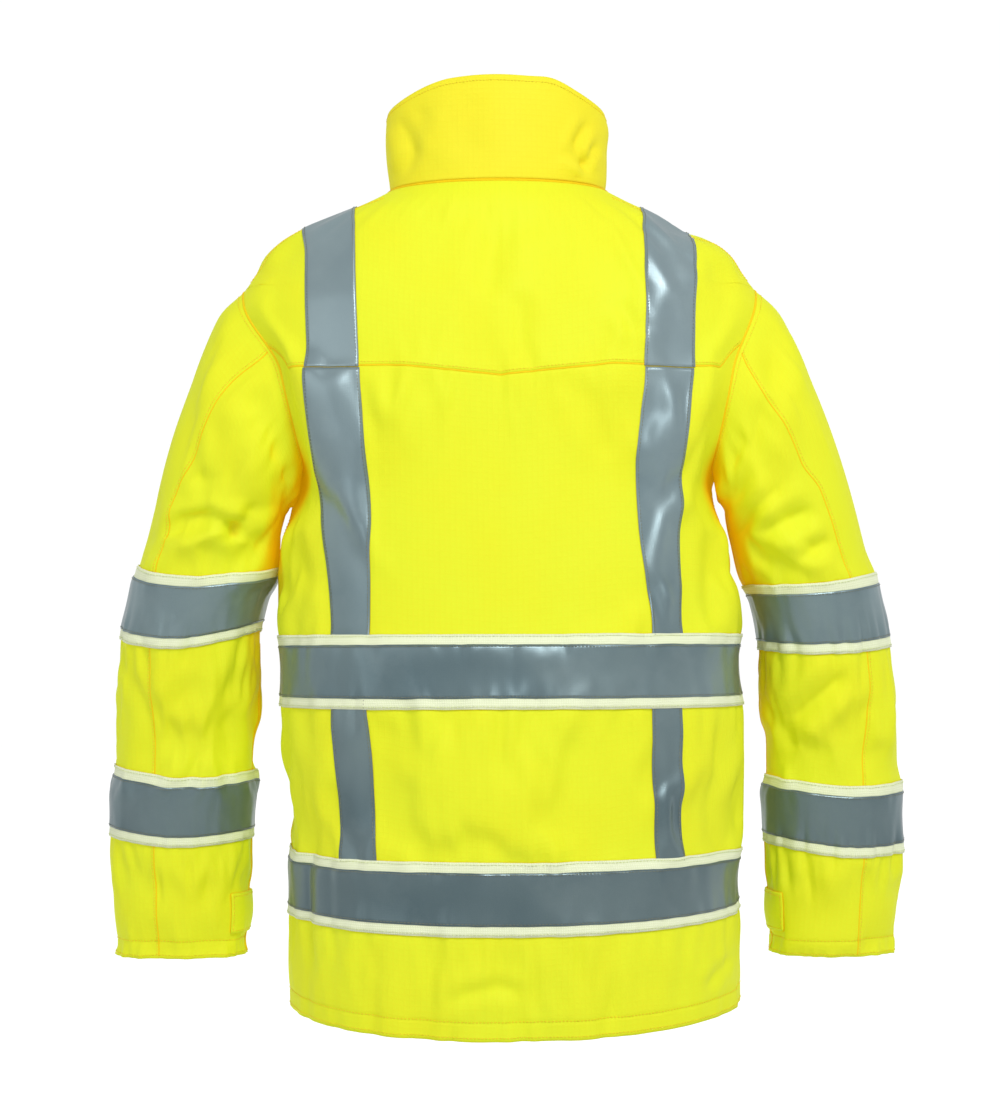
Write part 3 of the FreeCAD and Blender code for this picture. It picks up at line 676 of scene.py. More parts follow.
def simulate(cloth, pins, spacing, frames, slack, gravity, bending):
    """How far along its normals the cloth settles when it is a little larger than its form."""
    nu = max(12, len(cloth.us) // spacing)
    nv = max(12, len(cloth.vs) // spacing)
    start = np.stack([resample(cloth.points[..., k], nu, nv) for k in range(3)], -1)
    normals = np.stack([resample(cloth.normals[..., k], nu, nv) for k in range(3)], -1)
    weights = np.clip(resample(pins, nu, nv), 0, 1)
    jitter = smooth_grid(RNG.normal(0, 0.004, (nu, nv)), 2, False) * (1 - weights)
    jitter[-1] = jitter[0]
    open_ring = (start + normals * jitter[..., None])[:-1]
    index = np.arange((nu - 1) * nv).reshape(nu - 1, nv)
    index = np.concatenate([index, index[:1]])
    faces = np.stack([index[:-1, :-1], index[1:, :-1], index[1:, 1:], index[:-1, 1:]], -1).reshape(-1, 4)
    made = mesh_object("draping", open_ring.reshape(-1, 3), faces)
    group = made.vertex_groups.new(name="pin")
    flat_weights = weights[:-1].ravel()
    for level in range(1, 11):
        members = np.nonzero(np.round(flat_weights * 10).astype(int) == level)[0]
        group.add([int(i) for i in members], level / 10, "REPLACE")
    modifier = made.modifiers.new("cloth", "CLOTH")
    settings = modifier.settings
    settings.quality = 6
    settings.mass = 0.3
    settings.tension_stiffness = settings.compression_stiffness = 25
    settings.shear_stiffness = 10
    settings.bending_stiffness = bending
    settings.air_damping = 4
    settings.vertex_group_mass = "pin"
    settings.shrink_min = -slack
    settings.effector_weights.gravity = gravity
    modifier.collision_settings.use_collision = False
    modifier.collision_settings.use_self_collision = False
    scene = bpy.context.scene
    modifier.point_cache.frame_start, modifier.point_cache.frame_end = 1, frames
    for frame_number in range(1, frames + 1):
        scene.frame_set(frame_number)
    settled = made.evaluated_get(bpy.context.evaluated_depsgraph_get()).data
    co = np.empty(len(settled.vertices) * 3)
    settled.vertices.foreach_get("co", co)
    scene.frame_set(1)
    bpy.data.objects.remove(made)
    moved = co.reshape(nu - 1, nv, 3) - start[:-1]
    along = (moved * normals[:-1]).sum(-1)
    along = np.concatenate([along, along[:1]])
    return along


def settle(cloth, pins, most, **how):
    """The simulated shift on the cloth's own grid, smoothed and no larger than most."""
    along = simulate(cloth, pins, **how)
    along = smooth_grid(resample(along, *cloth.points.shape[:2]), 3, True)
    return most * np.tanh(along / most)


def segment_distance(xz, path):
    """Distance to a line through points, which side of it each point is on, and the share along it."""
    best = np.full(xz.shape[:2], 9.0)
    side = np.zeros(xz.shape[:2])
    along = np.zeros(xz.shape[:2])
    path = np.array(path, float) * MM
    total = np.linalg.norm(np.diff(path, axis=0), axis=1).sum()
    walked = 0.0
    for a, b in zip(path[:-1], path[1:]):
        step = b - a
        length = np.linalg.norm(step)
        t = np.clip(((xz - a) @ step) / length**2, 0, 1)
        gap = xz - (a + t[..., None] * step)
        distance = np.linalg.norm(gap, axis=-1)
        nearer = distance < best
        best = np.where(nearer, distance, best)
        side = np.where(nearer, np.sign(step[0] * gap[..., 1] - step[1] * gap[..., 0]), side)
        along = np.where(nearer, (walked + t * length) / total, along)
        walked += length
    return best, side, along


CREASE_STRENGTH = 1.25  # how much deeper the creases are pressed than their listed depth


def crease(cloth, path, width, depth, lap=0.0, facing=1):
    """Shift of a valley along a path of (x, z) mm points; lap raises the side on the path's left."""
    distance, side, along = segment_distance(cloth.points[..., [0, 2]], path)
    width = width * MM
    ends = smoothstep(along, -0.05, 0.25) * (1 - smoothstep(along, 0.75, 1.05))
    valley = -depth * np.exp(-(distance / width) ** 2)
    shoulders = 0.45 * depth * np.exp(-((distance - 2.0 * width) / width) ** 2)
    above = np.where(side > 0, np.exp(-distance / (2.5 * width)), 0)
    fold = lap * above * smoothstep(distance, 0, 0.5 * width)
    towards = smoothstep(cloth.normals[..., 1] * facing, 0.0, 0.5)
    return CREASE_STRENGTH * (valley + shoulders + fold) * ends * towards * MM


def overlap(cloth, path, drop):
    """Pulls the cloth above a line down over the cloth below it, as a sagging sleeve folds over."""
    distance, side, along = segment_distance(cloth.points[..., [0, 2]], path)
    ends = smoothstep(along, 0.0, 0.3) * (1 - smoothstep(along, 0.75, 1.0))
    behind = smoothstep(cloth.normals[..., 1], 0.0, 0.5)
    lip = side * np.exp(-distance / 0.010) * smoothstep(distance, -0.0005, 0.0022)
    cloth.points[..., 2] -= drop * lip * ends * behind


def soft_noise(cloth, size_u, size_v, amount):
    """Gentle waviness with patches of about the given sizes in metres."""
    u_length = np.linalg.norm(np.diff(cloth.points[:, -1], axis=0), axis=-1).sum()
    v_length = np.linalg.norm(np.diff(cloth.points[0], axis=0), axis=-1).sum()
    nu, nv = max(6, int(u_length / size_u)), max(4, int(v_length / size_v))
    coarse = RNG.normal(0, 1, (nu, nv))
    coarse = np.concatenate([coarse, coarse[:1]])
    fine = resample(coarse, *cloth.points.shape[:2])
    rounds = int(0.5 * (len(cloth.us) / nu) ** 2)
    fine = smooth_grid(fine, min(rounds, 60), True)
    return amount * fine / fine.std()


def lining_cloth(cloth, shift):
    """The lining's own shape: in as far as the deepest fold nearby, so that it stays inside them all."""
    deepest = shift
    for _ in range(4):
        ring = deepest[:-1]
        ring = np.minimum.reduce([ring, np.roll(ring, 1, 0), np.roll(ring, -1, 0)])
        padded = np.pad(np.concatenate([ring, ring[:1]]), ((0, 0), (1, 1)), "edge")
        deepest = np.minimum.reduce([padded[:, 1:-1], padded[:, :-2], padded[:, 2:]])
    inside = copy.copy(cloth)
    inside.points = cloth.points + cloth.normals * smooth_grid(deepest, 5, True)[..., None]
    return inside


def armhole_x(z):
    """Half distance between the armhole planes at height z."""
    outer, inner = sleeve_outer(ARMHOLE_DEPTH), sleeve_inner(ARMHOLE_DEPTH)
    top, bottom = -ARMHOLE_DEPTH + sleeve_rise(ARMHOLE_DEPTH), -ARMHOLE_DEPTH - sleeve_rise(ARMHOLE_DEPTH)
    return inner + (outer - inner) * (z - bottom) / (top - bottom)


def near(values, middle, reach):
    """1 at a level, falling to 0 at the given distance from it."""
    return 1 - smoothstep(np.abs(values - middle), 0, reach)


def lean(z):
    """The coat hangs a little askew: its collar to the wearer's left and its hem to the right."""
    return 0.0122 * (z + 0.449)


# How far in on the back each armhole seam sits from its plane at most, where the sleeve folds over.
ARMHOLE_SLIDE = {"left": 0.024, "right": 0.012}


def slide_armholes(points):
    """Moves the cloth near the armhole seams in towards the middle of the back."""
    x, y, z = np.moveaxis(points, -1, 0)
    amount = np.where(x > 0, ARMHOLE_SLIDE["left"], ARMHOLE_SLIDE["right"])
    amount = amount * smoothstep(-z, 0.120, 0.190) * (1 - smoothstep(-z, 0.27, 0.36))
    amount = amount * smoothstep(y, -0.03, 0.05)
    from_seam = np.abs(x) - armhole_x(z)
    reach = np.where(from_seam < 0, 0.026, 0.036)
    points[..., 0] -= np.sign(x) * amount * np.exp(-((from_seam / reach) ** 2))


def raise_hem(points):
    """The hem and its band rise a little towards the side seams."""
    rise = 0.003 + 0.012 * (points[..., 0] / 0.2) ** 2
    points[..., 2] += rise * smoothstep(-points[..., 2], 0.60, 0.822)


FRONT_FLATTENING = 0.8  # the share of the front's outward bulges that the zip and pockets hold back


def drape_body():
    x, z = np.abs(BODY.points[..., 0]), BODY.points[..., 2]
    in_armhole = smoothstep(-z, 0.050, 0.085) * (1 - smoothstep(-z, 0.315, 0.350))
    armhole = in_armhole * (1 - smoothstep(armhole_x(z) - x, 0.004, 0.035))
    neck = 1 - smoothstep(-z, 0.004, 0.05)
    front = np.where(BODY.points[..., 1] < 0, 1 - smoothstep(x, 0.06, 0.12), 0)
    band = np.maximum(near(z, WAIST_Z, 0.045), near(z, HEM_BAND_Z, 0.045))
    yoke = near(z, YOKE_Z, 0.012)
    held = np.maximum.reduce([armhole, neck, front])
    pins = np.maximum(held, 0.8 * np.maximum(band, 0.6 * yoke))
    shift = settle(BODY, pins, 0.0065, spacing=3, frames=26, slack=0.035, gravity=0.7, bending=6.0)
    shift += soft_noise(BODY, 0.16, 0.30, 0.0016)
    shift += soft_noise(BODY, 0.05, 0.09, 0.0005)
    bulge = np.maximum(shift, 0) * smoothstep(-BODY.points[..., 1], 0.0, 0.05)
    shift = (shift - FRONT_FLATTENING * bulge) * (1 - 0.65 * band) - 0.0016 * band
    for path, width, depth, lap in (
        ([(-4, -45), (8, -78), (13, -125)], 13, 3.5, 0),
        ([(-18, -112), (-20, -196)], 10, 2.6, 0),
        ([(-78, -200), (-103, -285)], 12, 2.4, 0),
        ([(-112, -125), (-134, -162)], 8, 2.2, 0),
        ([(59, -790), (42, -779), (13, -772), (-16, -780)], 7, 2.5, 1.2),
        ([(-211, -765), (-178, -792)], 6, 2.2, 1.0),
        ([(197, -560), (200, -690), (196, -815)], 7, 3.0, 1.0),
        ([(206, -330), (203, -400), (209, -460)], 8, 2.6, 0),
        ([(-204, -330), (-200, -410), (-208, -462)], 8, 2.6, 0),
        ([(-205, -530), (-198, -610), (-204, -660)], 8, 2.4, 0),
        ([(96, -470), (118, -560), (120, -640)], 16, 2.2, 0),
        ([(-60, -520), (-52, -600), (-58, -650)], 18, 1.8, 0),
        ([(-206, -240), (-212, -300), (-204, -345)], 9, 3.4, 0),
        ([(206, -235), (214, -290), (206, -330)], 9, 3.0, 0),
    ):
        shift += crease(BODY, path, width, depth, lap)
    shift *= 1 - held
    BODY.inside = lining_cloth(BODY, shift)
    BODY.points = BODY.points + BODY.normals * shift[..., None]
    behind = smoothstep(np.cos(np.radians(BODY.us)), -0.9, -0.1)[:, None]
    for cloth in (BODY, BODY.inside):
        x, z = cloth.points[..., 0], cloth.points[..., 2]
        slack_side = 0.008 * smoothstep(x, 0.12, 0.21) * smoothstep(-z, 0.33, 0.43)
        slide_armholes(cloth.points)
        cloth.points[..., 0] += (lean(z) - slack_side) * behind
        raise_hem(cloth.points)
        cloth.refresh()


SLEEVE_FOLD = [(338, -348), (312, -336), (284, -333), (262, -342), (244, -354)]

SLEEVE_CREASES = {
    "left": (
        ([(252, -200), (236, -262), (222, -318)], 11, 6.5, 0),
        (SLEEVE_FOLD, 8, 5.5, 6.0),
        ([(270, -352), (252, -332), (246, -312)], 6, 4.5, 2.0),
        ([(300, -286), (286, -300)], 8, 2.5, 0),
        ([(322, -175), (300, -240), (296, -300)], 16, 2.6, 0),
        ([(352, -300), (360, -360)], 12, 3.0, 0),
        ([(300, -480), (330, -520), (338, -570)], 13, 4.0, 0),
        ([(262, -470), (276, -520), (268, -575)], 10, 4.0, 0),
        ([(360, -480), (352, -530), (362, -580)], 10, 3.0, 0),
        ([(285, -680), (304, -715), (298, -758)], 11, 3.0, 0),
        ([(350, -675), (344, -720), (352, -755)], 12, 2.5, 0),
    ),
    "right": (
        ([(-262, -140), (-272, -175), (-264, -215)], 12, 5.0, 0),
        ([(-240, -180), (-236, -235), (-230, -300)], 9, 5.0, 0),
        ([(-262, -210), (-246, -270), (-234, -330)], 10, 4.0, 1.0),
        ([(-306, -322), (-280, -332), (-248, -345)], 10, 5.0, 3.0),
        ([(-270, -300), (-246, -325), (-232, -350)], 7, 4.5, 2.0),
        ([(-322, -352), (-300, -362), (-286, -372)], 7, 3.5, 2.0),
        ([(-338, -480), (-308, -505), (-275, -535)], 11, 6.0, 3.5),
        ([(-360, -500), (-350, -545), (-358, -585)], 12, 3.0, 0),
        ([(-286, -560), (-276, -530)], 9, 3.0, 0),
        ([(-290, -680), (-304, -735)], 11, 3.0, 0),
        ([(-352, -672), (-346, -725)], 13, 2.5, 0),
    ),
}


def drape_sleeve(name):
    cloth = SLEEVES[name]
    depth = np.broadcast_to(cloth.vs[None], cloth.points.shape[:2])
    armhole = 1 - smoothstep(depth - ARMHOLE_DEPTH, 0.003, 0.035)
    band = np.maximum(near(depth, UPPER_BAND_DEPTH, 0.045), near(depth, CUFF_BAND_DEPTH, 0.045))
    cuff = smoothstep(depth, CUFF_DEPTH - 0.012, CUFF_DEPTH)
    pins = np.maximum.reduce([armhole, 0.85 * band, 0.5 * cuff])
    shift = settle(cloth, pins, 0.0055, spacing=3, frames=24, slack=0.05, gravity=0.8, bending=3.0)
    shift += soft_noise(cloth, 0.10, 0.14, 0.0012)
    shift = shift * (1 - 0.7 * band) - 0.0016 * band
    for path, width, depth_mm, lap in SLEEVE_CREASES[name]:
        shift += crease(cloth, path, width, depth_mm, lap)
    tab = near(depth, 0.722, 0.04) * smoothstep(np.mod(cloth.us, 360), 60, 80)[:, None]
    shift *= (1 - armhole) * (1 - 0.8 * tab)
    cloth.inside = lining_cloth(cloth, shift)
    cloth.points = cloth.points + cloth.normals * shift[..., None]
    if name == "left":
        overlap(cloth, SLEEVE_FOLD, 0.0055)
    for layer in (cloth, cloth.inside):
        slide_armholes(layer.points)
        layer.points[..., 0] += lean(layer.points[..., 2])
        layer.refresh()


def drape_collar():
    share = np.broadcast_to(COLLAR.vs[None], COLLAR.points.shape[:2])
    shift = soft_noise(COLLAR, 0.09, 0.05, 0.0010)
    for path, width, depth, lap in (
        ([(-92, 66), (-76, 36), (-90, 10)], 5, 3.4, 1.6),
        ([(-99, 44), (-84, 14)], 4, 2.6, 1.4),
        ([(-62, 30), (-88, 16)], 5, 2.2, 1.0),
        ([(96, 70), (86, 34), (94, 10)], 7, 2.4, 1.0),
        ([(70, 80), (84, 40), (80, 14)], 9, 2.0, 0),
        ([(20, 88), (30, 50), (22, 16)], 14, 1.2, 0),
    ):
        shift += crease(COLLAR, path, width, depth, lap)
    at_side = np.exp(-(((COLLAR.us - 270) / 12) ** 2))[:, None]
    shift += 0.0032 * at_side * np.exp(-(((share - 0.72) / 0.16) ** 2))
    front = np.where(COLLAR.points[..., 1] < 0, 1 - smoothstep(np.abs(COLLAR.points[..., 0]), 0.04, 0.08), 0)
    shift *= smoothstep(share, 0.0, 0.12) * (1 - 0.5 * smoothstep(share, 0.8, 1.0)) * (1 - front)
    COLLAR.points = COLLAR.points + COLLAR.normals * shift[..., None]
    behind = smoothstep(np.cos(np.radians(COLLAR.us)), -0.9, -0.1)[:, None]
    COLLAR.points[..., 0] += lean(COLLAR.points[..., 2]) * behind
    COLLAR.refresh()


drape_body()
for sleeve_name in SIDES:
    drape_sleeve(sleeve_name)
drape_collar()
print("draped")


# ---------------------------------------------------------------- the coat's pieces
PARTS = {}
SEWING = {}
LAPS = {}


def keep(name, piece, body, slot, *nodes, blend=None):
    """Attaches a piece to the body it follows, or only bakes it in place when it is given a blend, and hides
    the CAD nodes that it replaces. The slot is not used.
    """
    if blend:
        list(blend)
        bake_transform(piece)
    else:
        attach(piece, body)
    if nodes:
        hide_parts(*nodes)
    PARTS[name] = piece
    return piece


def sew(body, cloth, us, vs, offset, colour="yellow", blend=None):
    """Notes a line of stitches; they are made together at the end."""
    us, vs = np.broadcast_arrays(np.asarray(us, float), np.asarray(vs, float))
    SEWING.setdefault((body, colour, blend), []).append((cloth.at(us, vs, offset), cloth.normal(us, vs)))


def lap(body, cloth, us, vs, width=0.0013, thickness=0.00035, offset=0.0, blend=None):
    """Notes a seam's narrow raised welt along a line."""
    us, vs = np.broadcast_arrays(np.asarray(us, float), np.asarray(vs, float))
    run = (cloth.at(us, vs, offset), cloth.normal(us, vs), width, thickness)
    LAPS.setdefault((body, blend), []).append(run)


def rows(top, bottom, step, *levels):
    """Heights from top to bottom, closer together round the given levels."""
    values = list(np.linspace(top, bottom, int(abs(bottom - top) / step) + 2))
    for level in levels:
        values.extend(level + step * np.array([-0.75, -0.5, -0.25, 0.0, 0.25, 0.5, 0.75]))
    low, high = min(top, bottom), max(top, bottom)
    values = np.unique([v for v in values if low <= v <= high])
    apart = np.concatenate([[True], np.diff(values) > step / 9])
    apart[-2:] = [values[-1] - values[-2] > step / 9, True]
    values = values[apart]
    return values if bottom > top else values[::-1]


ARMHOLE_TOP = -ARMHOLE_DEPTH + float(sleeve_rise(ARMHOLE_DEPTH))
ARMHOLE_BOTTOM = -ARMHOLE_DEPTH - float(sleeve_rise(ARMHOLE_DEPTH))


def panel_edge(v, facing):
    """Degrees round from the centre back at which a panel ends: the side seam or the armhole."""
    seam = SIDE_SEAM if facing > 0 else SIDE_SEAM + 0.24
    x = np.minimum(armhole_x(v) + 0.0006, half_width(v) * 0.9999)
    cut = (v < ARMHOLE_TOP) & (v > ARMHOLE_BOTTOM) & (x < half_width(v) * 0.999)
    angle = body_angle(x, v, facing)
    angle = np.minimum(seam, angle) if facing > 0 else np.maximum(seam, angle)
    return np.where(cut, angle, seam)


def armhole_ends():
    """The heights at which an armhole opens and closes, where its plane meets the body's outline."""
    heights = np.linspace(-0.05, -0.35, 3001)
    open_there = heights[armhole_x(heights) + 0.0006 < half_width(heights) * 0.999]
    return float(open_there[0]), float(open_there[-1])


def side_to_side(share, edge):
    """Degrees round the back at a share of the way to its edge; only the outer part follows the edge."""
    core = 58.0
    outer = core + (edge - core) * (np.abs(share) - 0.62) / 0.38
    return np.sign(share) * np.where(np.abs(share) < 0.62, core * np.abs(share) / 0.62, outer)


def around(u, side):
    return u if side > 0 else 360 - u


def grid_between(starts, stops, vs, count):
    share = np.linspace(0, 1, count)[:, None]
    return starts[None] * (1 - share) + stops[None] * share, np.broadcast_to(vs[None], (count, len(vs)))


def yoke_seam(share):
    """Height of the yoke seam at a share of the way from the centre back to the armhole."""
    edge = panel_edge(np.array(YOKE_Z), 1)
    x = np.abs(body_base(share * edge, YOKE_Z + 0 * share)[..., 0])
    dip = -0.010 * np.clip(1 - x / 0.075, 0, 1)
    rise = 0.030 * smoothstep(x, 0.185, 0.255)
    return YOKE_Z + 0.0015 + dip + rise


def hem_groove(vs, level):
    """The line that a hem's stitches press into the cloth."""
    return -0.0006 * np.exp(-(((vs - level) / 0.0022) ** 2))


HEM_STITCH_Z = HEM_Z + 0.018
# Sheets inside the shell and the braces on it: offset from the shell, thickness and look.
LINING_LAYER = (-0.003, 0.001, LINING)
FACING_LAYER = (-0.0013, 0.001, YELLOW)
BRACE_LAYER = (0.0012, 0.0006, SILVER_TAPE)
BRACE_STITCH_RISE, BRACE_STITCH_INSET = 0.00145, 0.0044


def back_pieces():
    lining_end = HEM_Z + 0.020
    for name, count in (("back_yoke", 190), ("back_panel", 200)):
        share = np.linspace(-1, 1, count)[:, None]
        ends = (0.0, YOKE_Z) if name == "back_yoke" else (YOKE_Z, HEM_Z)
        vs = rows(*ends, 0.0036, *armhole_ends(), HEM_STITCH_Z)[None]
        vs = vs + (yoke_seam(share) - YOKE_Z) * (1 - smoothstep(np.abs(vs - YOKE_Z), 0, 0.07))
        us = side_to_side(share, panel_edge(vs, 1))
        piece = sheet_piece(name + "_cloth", BODY, us, vs, hem_groove(vs, HEM_STITCH_Z), SHELL, YELLOW)
        keep(name, piece, "coat", "shell_fabric", name)
    vs = rows(0.0, lining_end, 0.008, *armhole_ends())[None]
    us = side_to_side(np.linspace(-1, 1, 110)[:, None], panel_edge(vs, 1))
    keep("back_lining", sheet_piece("back_lining_cloth", BODY.inside, us, vs, *LINING_LAYER), "coat",
         "lining_fabric", "back_lining")
    vs = rows(HEM_Z + 0.022, HEM_Z + 0.0003, 0.004)
    us, vs = grid_between(0 * vs - SIDE_SEAM, 0 * vs + SIDE_SEAM, vs, 140)
    keep("back_hem_facing", sheet_piece("back_hem_facing", BODY, us, vs, *FACING_LAYER), "coat",
         "shell_fabric")


def front_pieces():
    for name, side in SIDES.items():
        vs = rows(0.0, HEM_Z, 0.0036, *armhole_ends(), HEM_STITCH_Z)
        us, vs = grid_between(panel_edge(vs, -1), body_angle(0.010, vs, -1), vs, 100)
        groove = hem_groove(vs, HEM_STITCH_Z)
        piece = sheet_piece(name + "_front_cloth", BODY, around(us, side), vs, groove, SHELL, YELLOW)
        keep(name + "_front_panel", piece, "coat", "shell_fabric", name + "_front_panel")
        vs = rows(0.0, HEM_Z + 0.020, 0.008, *armhole_ends())
        us, vs = grid_between(panel_edge(vs, -1), body_angle(0.020, vs, -1), vs, 56)
        us = around(us, side)
        piece = sheet_piece(name + "_front_lining_cloth", BODY.inside, us, vs, *LINING_LAYER)
        keep(name + "_front_lining", piece, "coat", "lining_fabric", name + "_front_lining")
        vs = rows(HEM_Z + 0.022, HEM_Z + 0.0003, 0.004)
        us, vs = grid_between(0 * vs + SIDE_SEAM + 0.3, body_angle(0.020, vs, -1), vs, 80)
        piece = sheet_piece(name + "_front_hem_facing", BODY, around(us, side), vs, *FACING_LAYER)
        keep(name + "_front_hem_facing", piece, "coat", "shell_fabric")


def collar_top(us):
    """The collar's cut: higher across the back and lower at the sides than the ring it is made on."""
    across_back = 0.065 * (1 - smoothstep(np.abs(us), 34, 74))
    corner = 0.028 * np.exp(-(((us + 43) / 13) ** 2))
    return 1 + across_back + corner - 0.10 * np.exp(-(((np.abs(us) - 92) / 26) ** 2))


def collar_pieces():
    for name, offset, thickness, top, opening, material, slot, count in (
        ("collar_shell", 0.0, SHELL, 1.0, 0.010, WARM_YELLOW, "shell_fabric", 260),
        ("collar_interlining", -0.0016, 0.0026, 0.94, 0.020, FELT, "interlining_felt", 120),
        ("collar_lining", -0.0046, 0.001, 0.98, 0.020, LINING, "lining_fabric", 120),
    ):
        reach = float(body_angle(opening, 0.0, -1))
        us = np.linspace(-reach, reach, count)[:, None]
        vs = np.linspace(0, top, 34)[None]
        vs = vs * collar_top(us)
        piece = sheet_piece(name + "_cloth", COLLAR, us, vs, offset, thickness, material)
        keep(name, piece, "coat", slot, name)
    reach = float(body_angle(0.012, 0.0, -1))
    us = np.linspace(-reach, reach, 260)
    sew("coat", COLLAR, us, 0.945 * collar_top(us), 0.0003)
    lap("coat", BODY, us, -0.0012, 0.0024, 0.0009)


# The two layers of a band: width, height above the shell, thickness, look and slot.
TAPE_LAYERS = (
    ("band", TAPE, 0.0018, 0.0007, CREAM, "tape_base"),
    ("silver", SILVER, 0.0024, 0.00055, SILVER_TAPE, "reflective_silver"),
)
SILVER_STITCH_RISE, SILVER_STITCH_INSET = 0.0027, 0.0018
BAND_STITCH_RISE, BAND_STITCH_INSET = 0.0021, 0.0022


def sew_tape(body, cloth, us, middle, blend=None):
    """Stitches along both edges of a band's silver and of its base."""
    for way in (1, -1):
        level = middle + way * (SILVER / 2 - SILVER_STITCH_INSET)
        sew(body, cloth, us, level, SILVER_STITCH_RISE, "grey", blend)
        level = middle + way * (TAPE / 2 - BAND_STITCH_INSET)
        sew(body, cloth, us, level, BAND_STITCH_RISE, "lime", blend)


def band_pieces():
    for name, middle in (("waist", WAIST_Z), ("hem", HEM_BAND_Z)):
        for kind, width, top, thickness, material, slot in TAPE_LAYERS:
            vs = np.linspace(middle + width / 2, middle - width / 2, 17)
            reach = body_angle(0.014, vs, -1)
            us, vs = grid_between(-reach, reach, vs, 420)
            piece = sheet_piece(f"{name}_{kind}_cloth", BODY, us, vs, top, thickness, material)
            keep(f"{name}_{kind}", piece, "coat", slot, f"{name}_{kind}")
        us = np.linspace(-174, 174, 700)
        sew_tape("coat", BODY, us, middle)


def brace_pieces():
    share = np.linspace(-0.5, 0.5, 15)[:, None]
    edges = (-0.5, 0.5)
    for name, side in SIDES.items():
        back_middle, back_width = profile(BACK_BRACE_MIDDLE[name]), profile(BACK_BRACE_WIDTH[name])
        turn = np.linspace(0, 180, 150)[None]
        middle = float(back_middle(YOKE_Z)) + 0.005 * np.sin(np.radians(turn))
        us, vs = over_shoulder(side * (middle + share * BRACE), turn)
        piece = sheet_piece(name + "_shoulder_brace_cloth", BODY, us, vs, *BRACE_LAYER)
        keep(name + "_shoulder_brace", piece, "coat", "reflective_silver", name + "_shoulder_brace")
        for edge in edges:
            us, vs = over_shoulder(side * (middle + edge * (BRACE - BRACE_STITCH_INSET))[0], turn[0])
            sew("coat", BODY, us, vs, BRACE_STITCH_RISE, "grey")
        for kind, facing, bottom, centre, width in (
            ("back_brace", 1, HEM_BAND_Z + TAPE / 2 - 0.006, back_middle, back_width),
            ("front_brace", -1, WAIST_Z + TAPE / 2 - 0.006, front_brace, lambda z: BRACE + 0 * z),
        ):
            vs = np.linspace(YOKE_Z - 0.001, bottom, 130)
            us = body_angle(side * (centre(vs)[None] + share * width(vs)[None]), vs[None], facing)
            label = f"{name}_{kind}"
            piece = sheet_piece(label + "_cloth", BODY, us, vs[None], *BRACE_LAYER)
            keep(label, piece, "coat", "reflective_silver", label)
            for edge in edges:
                us = body_angle(side * (centre(vs) + edge * (width(vs) - BRACE_STITCH_INSET)), vs, facing)
                sew("coat", BODY, us, vs, BRACE_STITCH_RISE, "grey")


def body_seams():
    vs = rows(-0.002, HEM_Z + 0.002, 0.006)
    edge = panel_edge(vs, 1)
    below = vs < ARMHOLE_BOTTOM
    for side in SIDES.values():
        lap("coat", BODY, side * edge[below], vs[below])
        sew("coat", BODY, side * (edge[below] - 1.4), vs[below], 0.0002)
    share = np.linspace(-1, 1, 500)
    vs = yoke_seam(share)
    us = side_to_side(share, panel_edge(vs, 1) - 0.3)
    lap("coat", BODY, us, vs)
    sew("coat", BODY, us, vs + 0.0034, 0.0002)
    hem = np.linspace(-174, 174, 600)
    sew("coat", BODY, hem, HEM_STITCH_Z, 0.0)
    sew("coat", BODY, hem, HEM_Z + 0.0035, 0.0003)
    shoulder_seam()


def shoulder_seam():
    """The seam over the shoulder, a little behind its crown."""
    for side in SIDES.values():
        x = side * np.linspace(0.112, 0.246, 60)
        us, vs = over_shoulder(x, 0 * x + 74)
        lap("coat", BODY, us, vs)
        us, vs = over_shoulder(x, 0 * x + 72.6)
        sew("coat", BODY, us, vs, 0.0006)


def blends(name, side):
    """Bodies and points where a sleeve's fabric would turn from following the coat to following the arm, and
    at the elbow; nothing in this script makes it bend there.
    """
    start, across, _ = sleeve_frame(np.array([ARMHOLE_DEPTH]), side)
    outward = np.array([side * abs(across[0][2]), 0, -abs(across[0][0])])
    elbow, elbow_across, _ = sleeve_frame(np.array([ELBOW_DEPTH]), side)
    down = np.array([side * abs(elbow_across[0][2]), 0, -abs(elbow_across[0][0])])
    near_end, far_end = start[0] + 0.002 * outward, start[0] + 0.046 * outward
    shoulder = ("coat", name + "_sleeve", tuple(near_end), tuple(far_end))
    bend = (name + "_sleeve", name + "_forearm", tuple(elbow[0]), tuple(elbow[0] + 0.065 * down))
    return shoulder, bend


# Where each sleeve's back seam runs: a depth in millimetres and a share of the half width there.
BACK_SEAM = {
    "left": [
        (195.5, 0.31), (230, 0.42), (277, 0.40), (325, 0.58),
        (375, 0.58), (457, 0.46), (581, 0.31), (766, 0.28),
    ],
    "right": [
        (195.5, 0.31), (229, 0.14), (285, 0.18), (315, 0.36),
        (367, 0.44), (457, 0.52), (585, 0.36), (766, 0.32),
    ],
}


def across_angle(depth, share, facing, side):
    """Degrees round a sleeve of the point at a share of its half width, on its back (1) or front (-1)."""
    half = sleeve_frame(depth, side)[2]
    through = sleeve_half_depth(depth) * (1 - np.abs(share) ** SLEEVE_SQUARENESS) ** (1 / SLEEVE_SQUARENESS)
    return np.mod(np.degrees(np.arctan2(-facing * through, share * half)), 360)


# How the sleeve bands dip round the arm: the rise or drop at the outer edge, the back and the underarm.
BAND_DIP = {
    ("left", "upper"): (0.005, 0.007, -0.018), ("right", "upper"): (0.014, 0.015, 0.004),
    ("left", "cuff"): (-0.012, -0.004, -0.011), ("right", "cuff"): (0.006, 0.007, -0.005),
}


